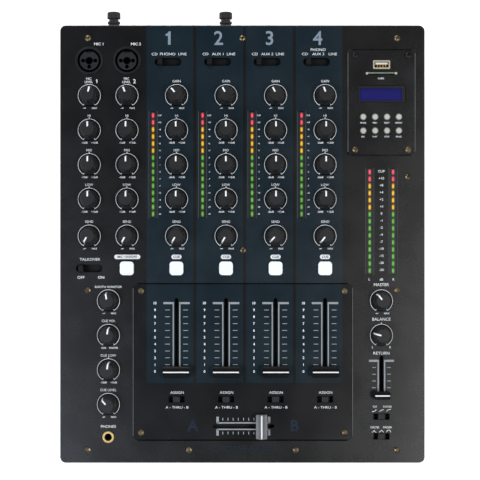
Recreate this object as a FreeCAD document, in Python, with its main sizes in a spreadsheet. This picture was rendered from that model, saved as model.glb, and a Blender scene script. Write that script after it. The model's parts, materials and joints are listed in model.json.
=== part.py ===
import FreeCAD
import Part
import Sketcher
import math
import os
import re
from FreeCAD import Placement, Rotation, Vector

# A four-channel mixing desk: a folded steel tray on rubber feet, closed by a flat control panel.
# Millimetres, +Z up, +Y to the rear. The feet stand on z = 0 and the whole desk, with the ground
# posts behind it, is centred on x = 0 and y = 0.
# Control pieces are drawn about their own centre with z = 0 at the top face of the control panel.
# Rear pieces are drawn with z = 0 at the outer face of the rear wall and +z pointing rearward.

SIZES = {
    "panel_width": (320, "control panel, left to right"),
    "panel_depth": (384, "control panel, front to rear"),
    "panel_sheet": (2, "control panel thickness"),
    "panel_corner": (5, "control panel corner radius"),
    "panel_lip": (3, "overhang of the control panel past the case"),
    "panel_edge": (0.6, "broken top edge of the control panel"),
    "case_height": (80, "folded tray, floor to flange"),
    "case_sheet": (1.2, "tray wall thickness"),
    "case_bend": (2, "outer bend radius along the tray floor"),
    "side_flange": (8, "inward flange along the sides"),
    "end_flange": (13, "inward flange along front and rear"),
    "foot_height": (9, "rubber foot height"),
    "foot_size": (22, "rubber foot diameter"),
    "foot_inset": (30, "foot centre from the tray edge"),
    "post_reach": (15, "ground posts past the rear edge of the panel"),
    "hole_gap": (0.3, "gap around pieces that stand in holes"),
    "slide_gap": (0.4, "gap beside pieces that slide"),
    "turn_gap": (0.1, "radial gap of a turning shaft"),
    "seat_gap": (0.05, "gap of a cap or screw on what it grips"),
    "board_drop": (8.5, "panel top down to the control boards"),
    "board_sheet": (1.6, "circuit board thickness"),
    "mic_first_x": (-134.4, "first microphone column"),
    "mic_pitch": (33.1, "microphone column spacing"),
    "channel_first_x": (-57.8, "first channel column"),
    "channel_pitch": (43.45, "channel column spacing"),
    "left_column_x": (-117.6, "monitor column"),
    "right_column_x": (122, "master column"),
    "gain_row_y": (130.3, "gain knob row"),
    "row_pitch": (30.3, "knob row spacing"),
    "send_row_y": (7, "send knob row"),
    "button_row_y": (-21.3, "button row"),
    "monitor_row_y": (-49.8, "first monitor and master knob row"),
    "knob_base": (17, "knob skirt diameter"),
    "knob_skirt": (1.8, "knob skirt height"),
    "knob_grip": (15.2, "knob grip diameter above the skirt"),
    "knob_top": (12.4, "knob top diameter"),
    "knob_height": (15.6, "panel to knob top"),
    "knob_edge": (0.7, "bevel round the knob top"),
    "knob_gap": (0.8, "panel to knob skirt"),
    "knob_cavity": (13.4, "hollow inside the skirt, diameter"),
    "cavity_height": (4.4, "panel to the roof of that hollow"),
    "flute_size": (1.4, "grip flute diameter"),
    "flute_count": (14, "grip flutes round a knob"),
    "flute_start": (0.8, "skirt to the foot of the flutes and the pointer"),
    "pointer_width": (1.4, "pointer groove width"),
    "pointer_depth": (0.35, "pointer groove depth"),
    "pointer_start": (1.6, "pointer start from the knob axis"),
    "shaft_size": (6, "control shaft diameter"),
    "shaft_reach": (12.4, "control shaft above the panel"),
    "shaft_flat": (1.5, "depth of the flat on the shaft"),
    "bushing_size": (7.6, "threaded bushing diameter"),
    "bushing_reach": (2.8, "threaded bushing above the panel"),
    "pot_width": (9.8, "rotary control body, left to right"),
    "pot_length": (11.4, "rotary control body, front to rear"),
    "nut_across": (10, "bushing nut across its flats"),
    "nut_height": (2, "bushing nut height"),
    "fader_plate_x": (0.4, "fader plate centre"),
    "fader_plate_y": (-103.4, "fader plate centre"),
    "fader_plate_width": (191, "fader plate, left to right"),
    "fader_plate_depth": (136.4, "fader plate, front to rear"),
    "fader_plate_sheet": (1.4, "fader plate thickness"),
    "fader_plate_corner": (4, "fader plate corner radius"),
    "strap_width": (12, "carrier straps below the fader plate"),
    "strap_reach": (9.5, "strap below the edge of the fader plate"),
    "strap_sheet": (1.6, "strap thickness"),
    "fader_top_y": (-51.8, "channel fader line at ten"),
    "channel_travel": (60, "channel fader travel"),
    "cross_x": (1, "crossfader centre"),
    "cross_y": (-159.8, "crossfader centre"),
    "cross_travel": (45, "crossfader travel"),
    "cross_rest": (15.8, "crossfader cap from its centre as it stands"),
    "return_top_y": (-102.4, "return fader line at ten"),
    "return_travel": (30, "return fader travel"),
    "fader_slot": (3.3, "fader slot width"),
    "slot_spare": (9, "fader slot longer than the travel"),
    "frame_width": (13, "fader frame width"),
    "frame_spare": (26, "fader frame longer than the travel"),
    "frame_sheet": (0.8, "fader frame thickness"),
    "carriage_length": (9, "fader carriage along the travel"),
    "carriage_height": (3.6, "fader carriage height"),
    "lever_width": (5, "fader lever along the travel"),
    "lever_sheet": (1.4, "fader lever thickness"),
    "lever_reach": (7.5, "fader lever above the panel"),
    "cap_lift": (2.2, "panel to the underside of a fader cap"),
    "channel_cap_width": (23.5, "channel fader cap across the slot"),
    "channel_cap_length": (9.6, "channel fader cap along the slot"),
    "channel_cap_height": (9.4, "channel fader cap height"),
    "cross_cap_width": (21, "crossfader cap across the slot"),
    "cross_cap_length": (9.8, "crossfader cap along the slot"),
    "cross_cap_height": (9.4, "crossfader cap height"),
    "return_cap_width": (13.7, "return fader cap across the slot"),
    "return_cap_length": (7, "return fader cap along the slot"),
    "return_cap_height": (8.4, "return fader cap height"),
    "cap_corner": (1, "fader cap corner radius"),
    "cap_ridge": (2.4, "ridge along the top of a fader cap"),
    "cap_line": (1.1, "index groove along the ridge"),
    "cap_line_depth": (0.3, "index groove depth"),
    "hollow_out": (2.6, "finger hollow centre past the cap"),
    "hollow_up": (2.2, "finger hollow centre above the cap"),
    "selector_x": (-7.4, "source selector from its channel column"),
    "selector_y": (159.9, "source selector row"),
    "selector_slot": (23.4, "selector slot length"),
    "selector_width": (7, "selector slot width"),
    "selector_travel": (14, "selector lever travel, end to end"),
    "selector_lever": (6.4, "selector lever along its slot"),
    "selector_reach": (4, "selector lever above the panel"),
    "selector_waist": (1.1, "taper of the selector lever on each side"),
    "selector_corner": (1.6, "corner radius of the lever in its rounded slot"),
    "selector_finger": (5, "selector lever finger across its slot"),
    "selector_edge": (0.4, "broken top edges of the selector lever"),
    "switch_window": (14.2, "slide switch window length"),
    "switch_width": (5.6, "slide switch window width"),
    "switch_travel": (3.6, "slide switch travel from the middle"),
    "switch_slider": (5.6, "slide switch slider along its window"),
    "switch_reach": (0.9, "slide switch slider above the panel"),
    "switch_ridge": (0.5, "grip ridge on a slide switch"),
    "assign_drop": (24.5, "assign switches in front of the fader line at zero"),
    "curve_first_y": (-151.4, "first curve switch"),
    "curve_pitch": (17.3, "curve switch spacing"),
    "button_size": (12.1, "lit button, edge to edge"),
    "button_corner": (3, "lit button corner radius"),
    "button_reach": (3.4, "lit button above the panel"),
    "button_edge": (0.8, "rounded top edge of a lit button"),
    "button_travel": (1.5, "lit button travel"),
    "button_stem": (4, "lit button stem"),
    "meter_offset": (-20.6, "channel meter from its channel column"),
    "meter_y": (69.7, "channel meter centre"),
    "master_meter_y": (20, "master meter centre"),
    "master_meter_pitch": (20.5, "master meter spacing"),
    "meter_window": (93.4, "meter window length"),
    "meter_width": (6.4, "meter window width"),
    "meter_sink": (0.7, "panel top down to the meter bar"),
    "lamp_pitch": (6.18, "meter lamp spacing"),
    "lamp_length": (4.8, "meter lamp along the meter"),
    "lamp_width": (2.4, "meter lamp across the meter"),
    "lamp_proud": (0.4, "meter lamp above its bar"),
    "combo_y": (161, "microphone socket row"),
    "combo_rim": (25, "microphone socket rim diameter"),
    "combo_rim_height": (1.2, "microphone socket rim height"),
    "combo_barrel": (23, "microphone socket barrel diameter"),
    "combo_depth": (21, "microphone socket below the panel"),
    "combo_groove": (20.6, "microphone socket ring groove, outside"),
    "combo_boss": (16.6, "microphone socket boss diameter"),
    "combo_sink": (0.8, "boss below the rim"),
    "groove_depth": (13, "ring groove depth below the panel"),
    "jack_bore": (6.5, "plug bore diameter"),
    "jack_depth": (18, "plug bore depth below the panel"),
    "pin_bore": (3.4, "pin hole diameter"),
    "pin_circle": (10.8, "pin hole circle diameter"),
    "key_width": (5, "key notch of the microphone socket"),
    "phones_y": (-169.3, "headphone socket"),
    "phones_rim": (10.2, "headphone socket nut diameter"),
    "phones_rim_height": (1.8, "headphone socket nut height"),
    "phones_barrel": (8.8, "headphone socket thread diameter"),
    "phones_block": (13, "headphone socket housing"),
    "player_x": (122, "player plate centre"),
    "player_y": (124.1, "player plate centre"),
    "player_width": (60, "player plate, left to right"),
    "player_depth": (93.6, "player plate, front to rear"),
    "player_sheet": (1.2, "player plate thickness"),
    "player_corner": (3.5, "player plate corner radius"),
    "player_hole_width": (43.6, "panel cut-out below the player plate"),
    "player_hole_depth": (75.6, "panel cut-out below the player plate"),
    "player_board_drop": (12.5, "panel top down to the player board"),
    "stick_y": (157.3, "memory stick socket"),
    "stick_width": (13.2, "memory stick socket shell"),
    "stick_height": (5.8, "memory stick socket shell"),
    "stick_lip": (0.9, "flared lip round that shell"),
    "stick_wall": (0.4, "shell thickness"),
    "card_y": (149.8, "memory card slot"),
    "card_width": (28, "memory card slot in the plate"),
    "card_height": (2.6, "memory card slot in the plate"),
    "card_mouth": (24.8, "memory card guide mouth"),
    "display_y": (131.8, "display centre"),
    "display_width": (42, "display window in the plate"),
    "display_height": (15.1, "display window in the plate"),
    "display_sink": (0.5, "plate top down to the display frame"),
    "glass_width": (37, "display glass"),
    "glass_height": (10.8, "display glass"),
    "glass_sink": (1.8, "display frame down to the glass"),
    "glass_sheet": (1.2, "display glass thickness"),
    "key_first_x": (105.9, "first player key"),
    "key_pitch": (10.4, "player key spacing"),
    "key_row_y": (111.4, "first player key row"),
    "key_row_pitch": (12.1, "player key row spacing"),
    "key_size": (5.8, "player key diameter"),
    "key_reach": (1.5, "player key above its plate"),
    "key_flange": (7.4, "player key flange below the plate"),
    "key_travel": (0.6, "player key travel"),
    "screw_head": (5.6, "screw head diameter"),
    "screw_head_height": (1.7, "screw head height"),
    "screw_size": (3, "screw shank diameter"),
    "screw_length": (6, "screw shank length"),
    "screw_cross": (0.8, "width of the cross recess"),
    "screw_inset": (11.4, "front and rear panel screws from the panel edge"),
    "screw_side_x": (135.6, "outer panel screws from the middle"),
    "screw_front_x": (46.8, "inner front panel screws from the middle"),
    "screw_middle_y": (-40.5, "side panel screws over the board pillars"),
    "screw_centre_y": (-5.2, "centre panel screw over its board pillar"),
    "screw_edge_x": (145, "right panel screw over its board pillar"),
    "screw_edge_y": (59.3, "right panel screw over its board pillar"),
    "pillar_across": (6, "board pillar across its flats"),
    "phono_first_x": (-118, "first phono socket block on the rear wall"),
    "phono_pitch": (27, "phono socket block spacing"),
    "phono_z": (45, "phono socket blocks above the table"),
    "phono_step": (14, "spacing inside a block of four"),
    "phono_barrel": (8.3, "phono socket barrel"),
    "phono_collar": (10.4, "phono socket collar"),
    "phono_reach": (9.5, "phono socket past the rear wall"),
    "phono_bore": (3.3, "phono socket contact hole"),
    "phono_block": (26, "phono socket housing"),
    "phono_depth": (12, "phono socket housing depth"),
    "output_first_x": (52, "first balanced output on the rear wall"),
    "output_pitch": (32, "balanced output spacing"),
    "output_width": (26, "balanced output flange"),
    "output_height": (31, "balanced output flange"),
    "output_flange": (1.6, "balanced output flange thickness"),
    "output_barrel": (23.2, "balanced output barrel"),
    "output_bore": (19, "balanced output opening"),
    "output_depth": (11, "balanced output opening depth"),
    "output_pin": (2.4, "balanced output pin diameter"),
    "output_pin_circle": (9.8, "balanced output pin circle"),
    "output_screw_x": (9.5, "balanced output screws from its centre"),
    "output_screw_y": (12, "balanced output screws from its centre"),
    "mains_x": (126, "mains inlet and switch"),
    "inlet_z": (34, "mains inlet above the table"),
    "inlet_width": (27, "mains inlet body"),
    "inlet_height": (19.8, "mains inlet body"),
    "inlet_flange": (2, "mains inlet flange overlap and thickness"),
    "inlet_depth": (15, "mains inlet opening depth"),
    "inlet_wall": (1.6, "mains inlet wall"),
    "rocker_z": (64, "power switch above the table"),
    "rocker_width": (12.6, "power switch body"),
    "rocker_height": (18.8, "power switch body"),
    "rocker_bezel": (1.4, "power switch bezel overlap and thickness"),
    "rocker_wall": (1, "power switch wall"),
    "rocker_tilt": (12, "power switch tilt each way, degrees"),
    "rocker_pivot": (3, "power switch pivot behind the rear wall"),
    "rocker_pin": (3, "power switch pivot pin diameter"),
    "post_drop": (18, "ground posts below the underside of the panel"),
    "post_first_x": (-114.6, "first ground post"),
    "post_second_x": (-14.8, "second ground post"),
    "post_cap": (11.7, "ground post cap diameter"),
    "post_body": (9.7, "ground post body diameter"),
    "post_stud": (4, "ground post stud diameter"),
}

WORD = re.compile(r"[a-z][a-z0-9_]*")

# Heights of the panel faces above the table, and where the panel centre lies.
PANEL_UNDERSIDE = "foot_height + case_height"
PANEL_TOP = "foot_height + case_height + panel_sheet"
PANEL_Y = "0 - post_reach / 2"
REAR_WALL_Y = "panel_depth / 2 - panel_lip - post_reach / 2"

doc = FreeCAD.newDocument("mixing_desk")
dims = doc.addObject("Spreadsheet::Sheet", "dims")
for row, (size_name, (size, meaning)) in enumerate(SIZES.items(), start=1):
    dims.set(f"A{row}", meaning)
    dims.set(f"B{row}", str(size))
    dims.setAlias(f"B{row}", size_name)
doc.recompute()


def on_sheet(text):
    """Writes size names in a formula as references to the sheet."""
    return WORD.sub(lambda found: f"dims.{found[0]}" if found[0] in SIZES else found[0], str(text))


def value(text):
    """Gives the present value of a formula in millimetres."""
    return float(dims.evalExpression(on_sheet(text)))


def bind(thing, field, text):
    """Ties one field of an object to a formula on the sheet."""
    thing.setExpression(field, on_sheet(text))


def place(thing, x="0", y="0", z="0", rotation=None):
    """Stands an object at a place that follows the sheet."""
    thing.Placement = Placement(Vector(value(x), value(y), value(z)), rotation or Rotation())
    bind(thing, "Placement.Base.x", x)
    bind(thing, "Placement.Base.y", y)
    bind(thing, "Placement.Base.z", z)
    return thing


def new_body(name):
    """Starts a solid piece."""
    return doc.addObject("PartDesign::Body", name)


def origin_part(body, role):
    """Finds a plane or an axis of a piece."""
    return next(part for part in body.Origin.OriginFeatures if part.Role == role)


def new_sketch(body, role="XY_Plane", lift="0"):
    """Starts a sketch on a plane of the piece, lifted along the plane's normal."""
    sketch = body.newObject("Sketcher::SketchObject", body.Name + "_sketch")
    sketch.AttachmentSupport = (origin_part(body, role), [""])
    sketch.MapMode = "FlatFace"
    bind(sketch, "AttachmentOffset.Base.z", lift)
    return sketch


def hold(sketch, kind, where, text):
    """Adds one driving dimension to a sketch."""
    index = sketch.addConstraint(Sketcher.Constraint(kind, *where, value(text)))
    bind(sketch, f"Constraints[{index}]", text)


def hold_point(sketch, where, x, y):
    """Dimensions a point of a sketch from the sketch origin."""
    hold(sketch, "DistanceX", (-1, 1, *where), x)
    hold(sketch, "DistanceY", (-1, 1, *where), y)


def draw_polygon(sketch, corners):
    """Draws a closed outline of straight lines through the given corners."""
    points = [Vector(value(x), value(y), 0) for x, y in corners]
    edges = zip(points, points[1:] + points[:1])
    lines = sketch.addGeometry([Part.LineSegment(start, end) for start, end in edges], False)
    for line, following in zip(lines, lines[1:] + lines[:1]):
        sketch.addConstraint(Sketcher.Constraint("Coincident", line, 2, following, 1))
    for line, (x, y) in zip(lines, corners):
        hold_point(sketch, (line, 1), x, y)


def draw_box(sketch, x, y, width, height):
    """Draws a rectangle about a centre."""
    left, right = f"({x}) - ({width}) / 2", f"({x}) + ({width}) / 2"
    front, rear = f"({y}) - ({height}) / 2", f"({y}) + ({height}) / 2"
    draw_polygon(sketch, [(left, front), (right, front), (right, rear), (left, rear)])


def draw_circle(sketch, x, y, diameter):
    """Draws a circle about a centre."""
    centre = Vector(value(x), value(y), 0)
    circle = sketch.addGeometry(Part.Circle(centre, Vector(0, 0, 1), value(diameter) / 2), False)
    hold_point(sketch, (circle, 3), x, y)
    hold(sketch, "Diameter", (circle,), diameter)


def draw_round_outline(sketch, corners, radius):
    """Draws a closed outline of equal arcs joined by tangent lines.

    Each corner is the arc centre and the angles in degrees where its arc starts and ends.
    """
    circles = [Part.Circle(Vector(value(x), value(y), 0), Vector(0, 0, 1), value(radius))
               for x, y, first, last in corners]
    curves = [Part.ArcOfCircle(circle, math.radians(first), math.radians(last))
              for circle, (x, y, first, last) in zip(circles, corners)]
    followers = curves[1:] + curves[:1]
    straights = [Part.LineSegment(curve.EndPoint, after.StartPoint)
                 for curve, after in zip(curves, followers)]
    arcs = sketch.addGeometry(curves, False)
    lines = sketch.addGeometry(straights, False)
    joints = []
    for arc, line, after in zip(arcs, lines, arcs[1:] + arcs[:1]):
        joints.append(Sketcher.Constraint("Tangent", arc, 2, line, 1))
        joints.append(Sketcher.Constraint("Tangent", line, 2, after, 1))
    joints += [Sketcher.Constraint("Equal", arcs[0], arc) for arc in arcs[1:]]
    sketch.addConstraint(joints)
    for arc, (x, y, first, last) in zip(arcs, corners):
        hold_point(sketch, (arc, 3), x, y)
    hold(sketch, "Radius", (arcs[0],), radius)


def draw_rounded(sketch, x, y, width, height, radius):
    """Draws a rectangle with rounded corners about a centre."""
    left, right = f"({x}) - ({width}) / 2 + {radius}", f"({x}) + ({width}) / 2 - ({radius})"
    front, rear = f"({y}) - ({height}) / 2 + {radius}", f"({y}) + ({height}) / 2 - ({radius})"
    corners = [(right, front, -90, 0), (right, rear, 0, 90), (left, rear, 90, 180), (left, front, 180, 270)]
    draw_round_outline(sketch, corners, radius)


def draw_slot(sketch, x, y, length, width, upright=False):
    """Draws a slot with round ends about a centre."""
    half = f"(({length}) - ({width})) / 2"
    ends = [(f"({x}) + {half}", y, -90, 90), (f"({x}) - {half}", y, 90, 270)]
    if upright:
        ends = [(x, f"({y}) + {half}", 0, 180), (x, f"({y}) - {half}", 180, 360)]
    draw_round_outline(sketch, ends, f"({width}) / 2")


def draw_hexagon(sketch, across):
    """Draws a hexagon about the origin from its size across the flats."""
    flat, point, half_point = f"{across} / 2", f"{across} / sqrt(3)", f"{across} / sqrt(12)"
    draw_polygon(sketch, [(point, "0"), (half_point, flat), (f"0 - {half_point}", flat),
                          (f"0 - {point}", "0"), (f"0 - {half_point}", f"0 - {flat}"),
                          (half_point, f"0 - {flat}")])


def pad(body, sketch, length, symmetric=False):
    """Raises a sketch into material along its normal."""
    feature = body.newObject("PartDesign::Pad", body.Name + "_pad")
    feature.Profile = sketch
    feature.SideType = "Symmetric" if symmetric else "One side"
    bind(feature, "Length", length)
    doc.recompute()
    return feature


def pocket(body, sketch, depth=None, along_normal=False, symmetric=False):
    """Cuts a sketch into the piece, right through unless a depth is given."""
    before = body.Shape.Volume
    feature = body.newObject("PartDesign::Pocket", body.Name + "_pocket")
    feature.Profile = sketch
    feature.SideType = "Symmetric" if symmetric else "One side"
    feature.Reversed = along_normal
    if depth is None:
        feature.Type = "ThroughAll"
    else:
        bind(feature, "Length", depth)
    doc.recompute()
    if body.Shape.Volume >= before:
        raise RuntimeError(f"a cut in {body.Name} removed nothing")
    return feature


def revolve(body, corners):
    """Turns a profile of radius and height pairs about the z axis."""
    sketch = new_sketch(body, "XZ_Plane")
    draw_polygon(sketch, corners)
    feature = body.newObject("PartDesign::Revolution", body.Name + "_turning")
    feature.Profile = sketch
    feature.ReferenceAxis = (sketch, ["V_Axis"])
    feature.Angle = 360
    doc.recompute()
    return feature


def in_batches(items, size=6):
    """Splits a list so that each sketch stays small."""
    return [items[start:start + size] for start in range(0, len(items), size)]


def pattern_round(body, feature, count):
    """Repeats a feature evenly about the z axis."""
    pattern = body.newObject("PartDesign::PolarPattern", body.Name + "_pattern")
    pattern.Originals = [feature]
    pattern.Axis = (origin_part(body, "Z_Axis"), [""])
    pattern.Angle = 360
    bind(pattern, "Occurrences", count)
    body.Tip = pattern
    doc.recompute()


def pattern_along_y(body, feature, length, count):
    """Repeats a feature evenly along y."""
    pattern = body.newObject("PartDesign::LinearPattern", body.Name + "_pattern")
    pattern.Originals = [feature]
    pattern.Direction = (origin_part(body, "Y_Axis"), [""])
    bind(pattern, "Length", length)
    bind(pattern, "Occurrences", count)
    body.Tip = pattern
    doc.recompute()


def round_edges(body, radius, chosen, chamfer=False):
    """Rounds or bevels the edges that a test on their midpoint and direction picks out."""
    base = body.Tip
    names = []
    for number, edge in enumerate(base.Shape.Edges, start=1):
        middle = edge.valueAt((edge.FirstParameter + edge.LastParameter) / 2)
        if chosen(edge, middle):
            names.append(f"Edge{number}")
    kind = "Chamfer" if chamfer else "Fillet"
    feature = body.newObject(f"PartDesign::{kind}", f"{body.Name}_edges")
    feature.Base = (base, names)
    bind(feature, "Size" if chamfer else "Radius", radius)
    doc.recompute()


def copy_of(name, sources, x="0", y="0", z="0", rotation=None):
    """Stands a copy of one or more pieces at a place of its own."""
    copy = doc.addObject("Part::Compound", name)
    copy.Links = sources
    return place(copy, x, y, z, rotation)


def on_panel(name, sources, x, y, turn=0):
    """Stands a control piece on the panel, turned clockwise as seen from above."""
    rotation = Rotation(Vector(0, 0, 1), -turn)
    return copy_of(name, sources, x, f"({y}) + {PANEL_Y}", PANEL_TOP, rotation)


def on_rear(name, sources, x, z, tilt=0):
    """Stands a rear piece on the outer face of the rear wall."""
    return copy_of(name, sources, x, REAR_WALL_Y, z, Rotation(Vector(1, 0, 0), -90 + tilt))


def gather(label, members):
    """Joins separate solids into one named sub-part."""
    group = doc.addObject("Part::Compound", label)
    group.Links = members
    return group


# Columns and rows of the panel, in panel coordinates about the panel centre.
def mic_x(index):
    return f"mic_first_x + {index} * mic_pitch"


def channel_x(index):
    return f"channel_first_x + {index} * channel_pitch"


def knob_row(index):
    return f"gain_row_y - {index} * row_pitch"


def monitor_row(index):
    return f"monitor_row_y - {index} * row_pitch"


CHANNELS = range(4)
MICS = range(2)

# Each knob: name, column, row and where its pointer stands, in degrees clockwise from the rear.
STRIP_ROWS = (("high", knob_row(1)), ("mid", knob_row(2)), ("low", knob_row(3)))
MIC_LEVEL_TURN = (16, -22)
CHANNEL_GAIN_TURN = (-40, -29, -28, -21)
CHANNEL_SEND_TURN = (-150, -150, -137, -142)
KNOBS = []
for mic in MICS:
    KNOBS.append((f"mic{mic + 1}_level_knob", mic_x(mic), "gain_row_y", MIC_LEVEL_TURN[mic]))
    KNOBS += [(f"mic{mic + 1}_{band}_knob", mic_x(mic), row, 0) for band, row in STRIP_ROWS]
    KNOBS.append((f"mic{mic + 1}_send_knob", mic_x(mic), "send_row_y", -150))
for channel in CHANNELS:
    column = channel_x(channel)
    KNOBS.append((f"ch{channel + 1}_gain_knob", column, "gain_row_y", CHANNEL_GAIN_TURN[channel]))
    KNOBS += [(f"ch{channel + 1}_{band}_knob", column, row, 0) for band, row in STRIP_ROWS]
    KNOBS.append((f"ch{channel + 1}_send_knob", column, "send_row_y", CHANNEL_SEND_TURN[channel]))
KNOBS += [
    ("booth_knob", "left_column_x", monitor_row(0), -9),
    ("cue_mix_knob", "left_column_x", monitor_row(1), 10),
    ("cue_low_knob", "left_column_x", monitor_row(2), 9),
    ("cue_level_knob", "left_column_x", monitor_row(3), -41),
    ("master_knob", "right_column_x", monitor_row(0), -38),
    ("balance_knob", "right_column_x", monitor_row(1), -75),
]

SELECTORS = [(f"ch{channel + 1}_source", f"{channel_x(channel)} + selector_x", "selector_y")
             for channel in CHANNELS]
TALKOVER = ("talkover", mic_x(0), "button_row_y")
BUTTONS = [(mic_x(1), "button_row_y")] + [(channel_x(channel), "button_row_y") for channel in CHANNELS]
METERS = [(f"{channel_x(channel)} + meter_offset", "meter_y") for channel in CHANNELS]
METERS += [(f"right_column_x + {side} * master_meter_pitch / 2", "master_meter_y") for side in (-1, 1)]
ASSIGN_Y = "fader_top_y - channel_travel - assign_drop"
ASSIGNS = [(channel_x(channel), ASSIGN_Y) for channel in CHANNELS]
CURVES = [("right_column_x", f"curve_first_y - {index} * curve_pitch") for index in range(2)]
CHANNEL_FADER_Y = "fader_top_y - channel_travel / 2"
RETURN_FADER_Y = "return_top_y - return_travel / 2"
PLAYER_KEYS = [(f"key_first_x + {column} * key_pitch", f"key_row_y - {row} * key_row_pitch")
               for row in range(2) for column in range(4)]

REAR_SCREW_Y = "panel_depth / 2 - screw_inset"
FRONT_SCREW_Y = "screw_inset - panel_depth / 2"
FLANGE_SCREWS = [(x, REAR_SCREW_Y) for x in ("0 - screw_side_x", "0", "screw_side_x")]
FLANGE_SCREWS += [(x, FRONT_SCREW_Y) for x in ("0 - screw_side_x", "0 - screw_front_x",
                                              "screw_front_x", "screw_side_x")]
PILLAR_SCREWS = [("0 - screw_side_x", "screw_middle_y"), ("0.5", "screw_centre_y"),
                 ("screw_side_x", "screw_middle_y"), ("screw_edge_x", "screw_edge_y")]
FADER_SCREWS = [(f"fader_plate_x + {side} * (fader_plate_width / 2 - 6)",
                 f"fader_plate_y + {end} * (fader_plate_depth / 2 - 6)")
                for side in (-1, 1) for end in (-1, 1)]
PLAYER_SCREWS = [(f"player_x + {side} * (player_width / 2 - 6.8)",
                  f"player_y + {end} * (player_depth / 2 - 5.4)")
                 for side in (-1, 1) for end in (-1, 1)]
FEET = [(f"{side} * (panel_width / 2 - panel_lip - foot_inset)",
         f"{end} * (panel_depth / 2 - panel_lip - foot_inset)")
        for side in (-1, 1) for end in (-1, 1)]

PHONO_BLOCKS = [f"phono_first_x + {index} * phono_pitch" for index in range(6)]
OUTPUTS = [f"output_first_x + {index} * output_pitch" for index in range(2)]
OUTPUT_SCREWS = [(f"{x} + {side} * output_screw_x", f"phono_z + {side} * output_screw_y")
                 for x in OUTPUTS for side in (-1, 1)]
POSTS = ("post_first_x", "post_second_x")
PHONO_CORNERS = [(side, end) for side in (-1, 1) for end in (-1, 1)]


def make_base_case():
    """Tray folded from sheet: floor, walls and inward flanges, with the rear wall punched for sockets."""
    body = new_body("base_case")
    half_width = "panel_width / 2 - panel_lip"
    half_depth = "panel_depth / 2 - panel_lip"
    roof = "case_height - case_sheet"
    section = new_sketch(body, "XZ_Plane")
    right = [(half_width, "0"), (half_width, "case_height"),
             (f"{half_width} - side_flange", "case_height"), (f"{half_width} - side_flange", roof),
             (f"{half_width} - case_sheet", roof), (f"{half_width} - case_sheet", "case_sheet")]
    left = [(f"0 - ({x})", z) for x, z in reversed(right)]
    draw_polygon(section, right + left)
    pad(body, section, f"2 * ({half_depth})", symmetric=True)
    for end in (-1, 1):
        wall = new_sketch(body, "YZ_Plane")
        inner = f"{half_depth} - case_sheet"
        lip = f"{half_depth} - end_flange"
        outline = [(half_depth, "0"), (half_depth, "case_height"), (lip, "case_height"), (lip, roof),
                   (inner, roof), (inner, "0")]
        draw_polygon(wall, [(f"{end} * ({y})", z) for y, z in outline])
        pad(body, wall, f"2 * ({half_width})", symmetric=True)
    round_edges(body, "case_bend", lambda edge, middle: is_floor_edge(edge, middle))
    flange_holes = new_sketch(body, lift=roof)
    for x, y in FLANGE_SCREWS:
        draw_circle(flange_holes, x, y, "screw_size + 2 * hole_gap")
    pocket(body, flange_holes, along_normal=True)
    floor_holes = new_sketch(body, lift="case_sheet")
    for x, y in FEET:
        draw_circle(floor_holes, x, y, "screw_size + 2 * hole_gap")
    pocket(body, floor_holes)
    rear_face = f"case_sheet - ({half_depth})"
    gap = "2 * hole_gap"
    for x in PHONO_BLOCKS:
        block = new_sketch(body, "XZ_Plane", rear_face)
        for side, end in PHONO_CORNERS:
            draw_circle(block, f"{x} + {side} * phono_step / 2",
                        f"phono_z - foot_height + {end} * phono_step / 2", f"phono_barrel + {gap}")
        pocket(body, block, "2 * case_sheet")
    rear = new_sketch(body, "XZ_Plane", rear_face)
    for x in OUTPUTS:
        draw_circle(rear, x, "phono_z - foot_height", f"output_barrel + {gap}")
    for x, z in OUTPUT_SCREWS:
        draw_circle(rear, x, f"{z} - foot_height", f"screw_size + {gap}")
    for x in POSTS:
        draw_circle(rear, x, "case_height - post_drop", f"post_stud + {gap}")
    draw_box(rear, "mains_x", "inlet_z - foot_height", f"inlet_width + {gap}", f"inlet_height + {gap}")
    draw_box(rear, "mains_x", "rocker_z - foot_height", f"rocker_width + {gap}", f"rocker_height + {gap}")
    pocket(body, rear, "2 * case_sheet")
    return place(body, y=PANEL_Y, z="foot_height")


def is_floor_edge(edge, middle):
    """Tells whether an edge runs along an outer bottom edge of the tray."""
    on_side = abs(abs(middle.x) - value("panel_width / 2 - panel_lip")) < 0.01
    on_end = abs(abs(middle.y) - value("panel_depth / 2 - panel_lip")) < 0.01
    return abs(middle.z) < 0.01 and edge.Length > 100 and (on_side or on_end)


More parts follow.
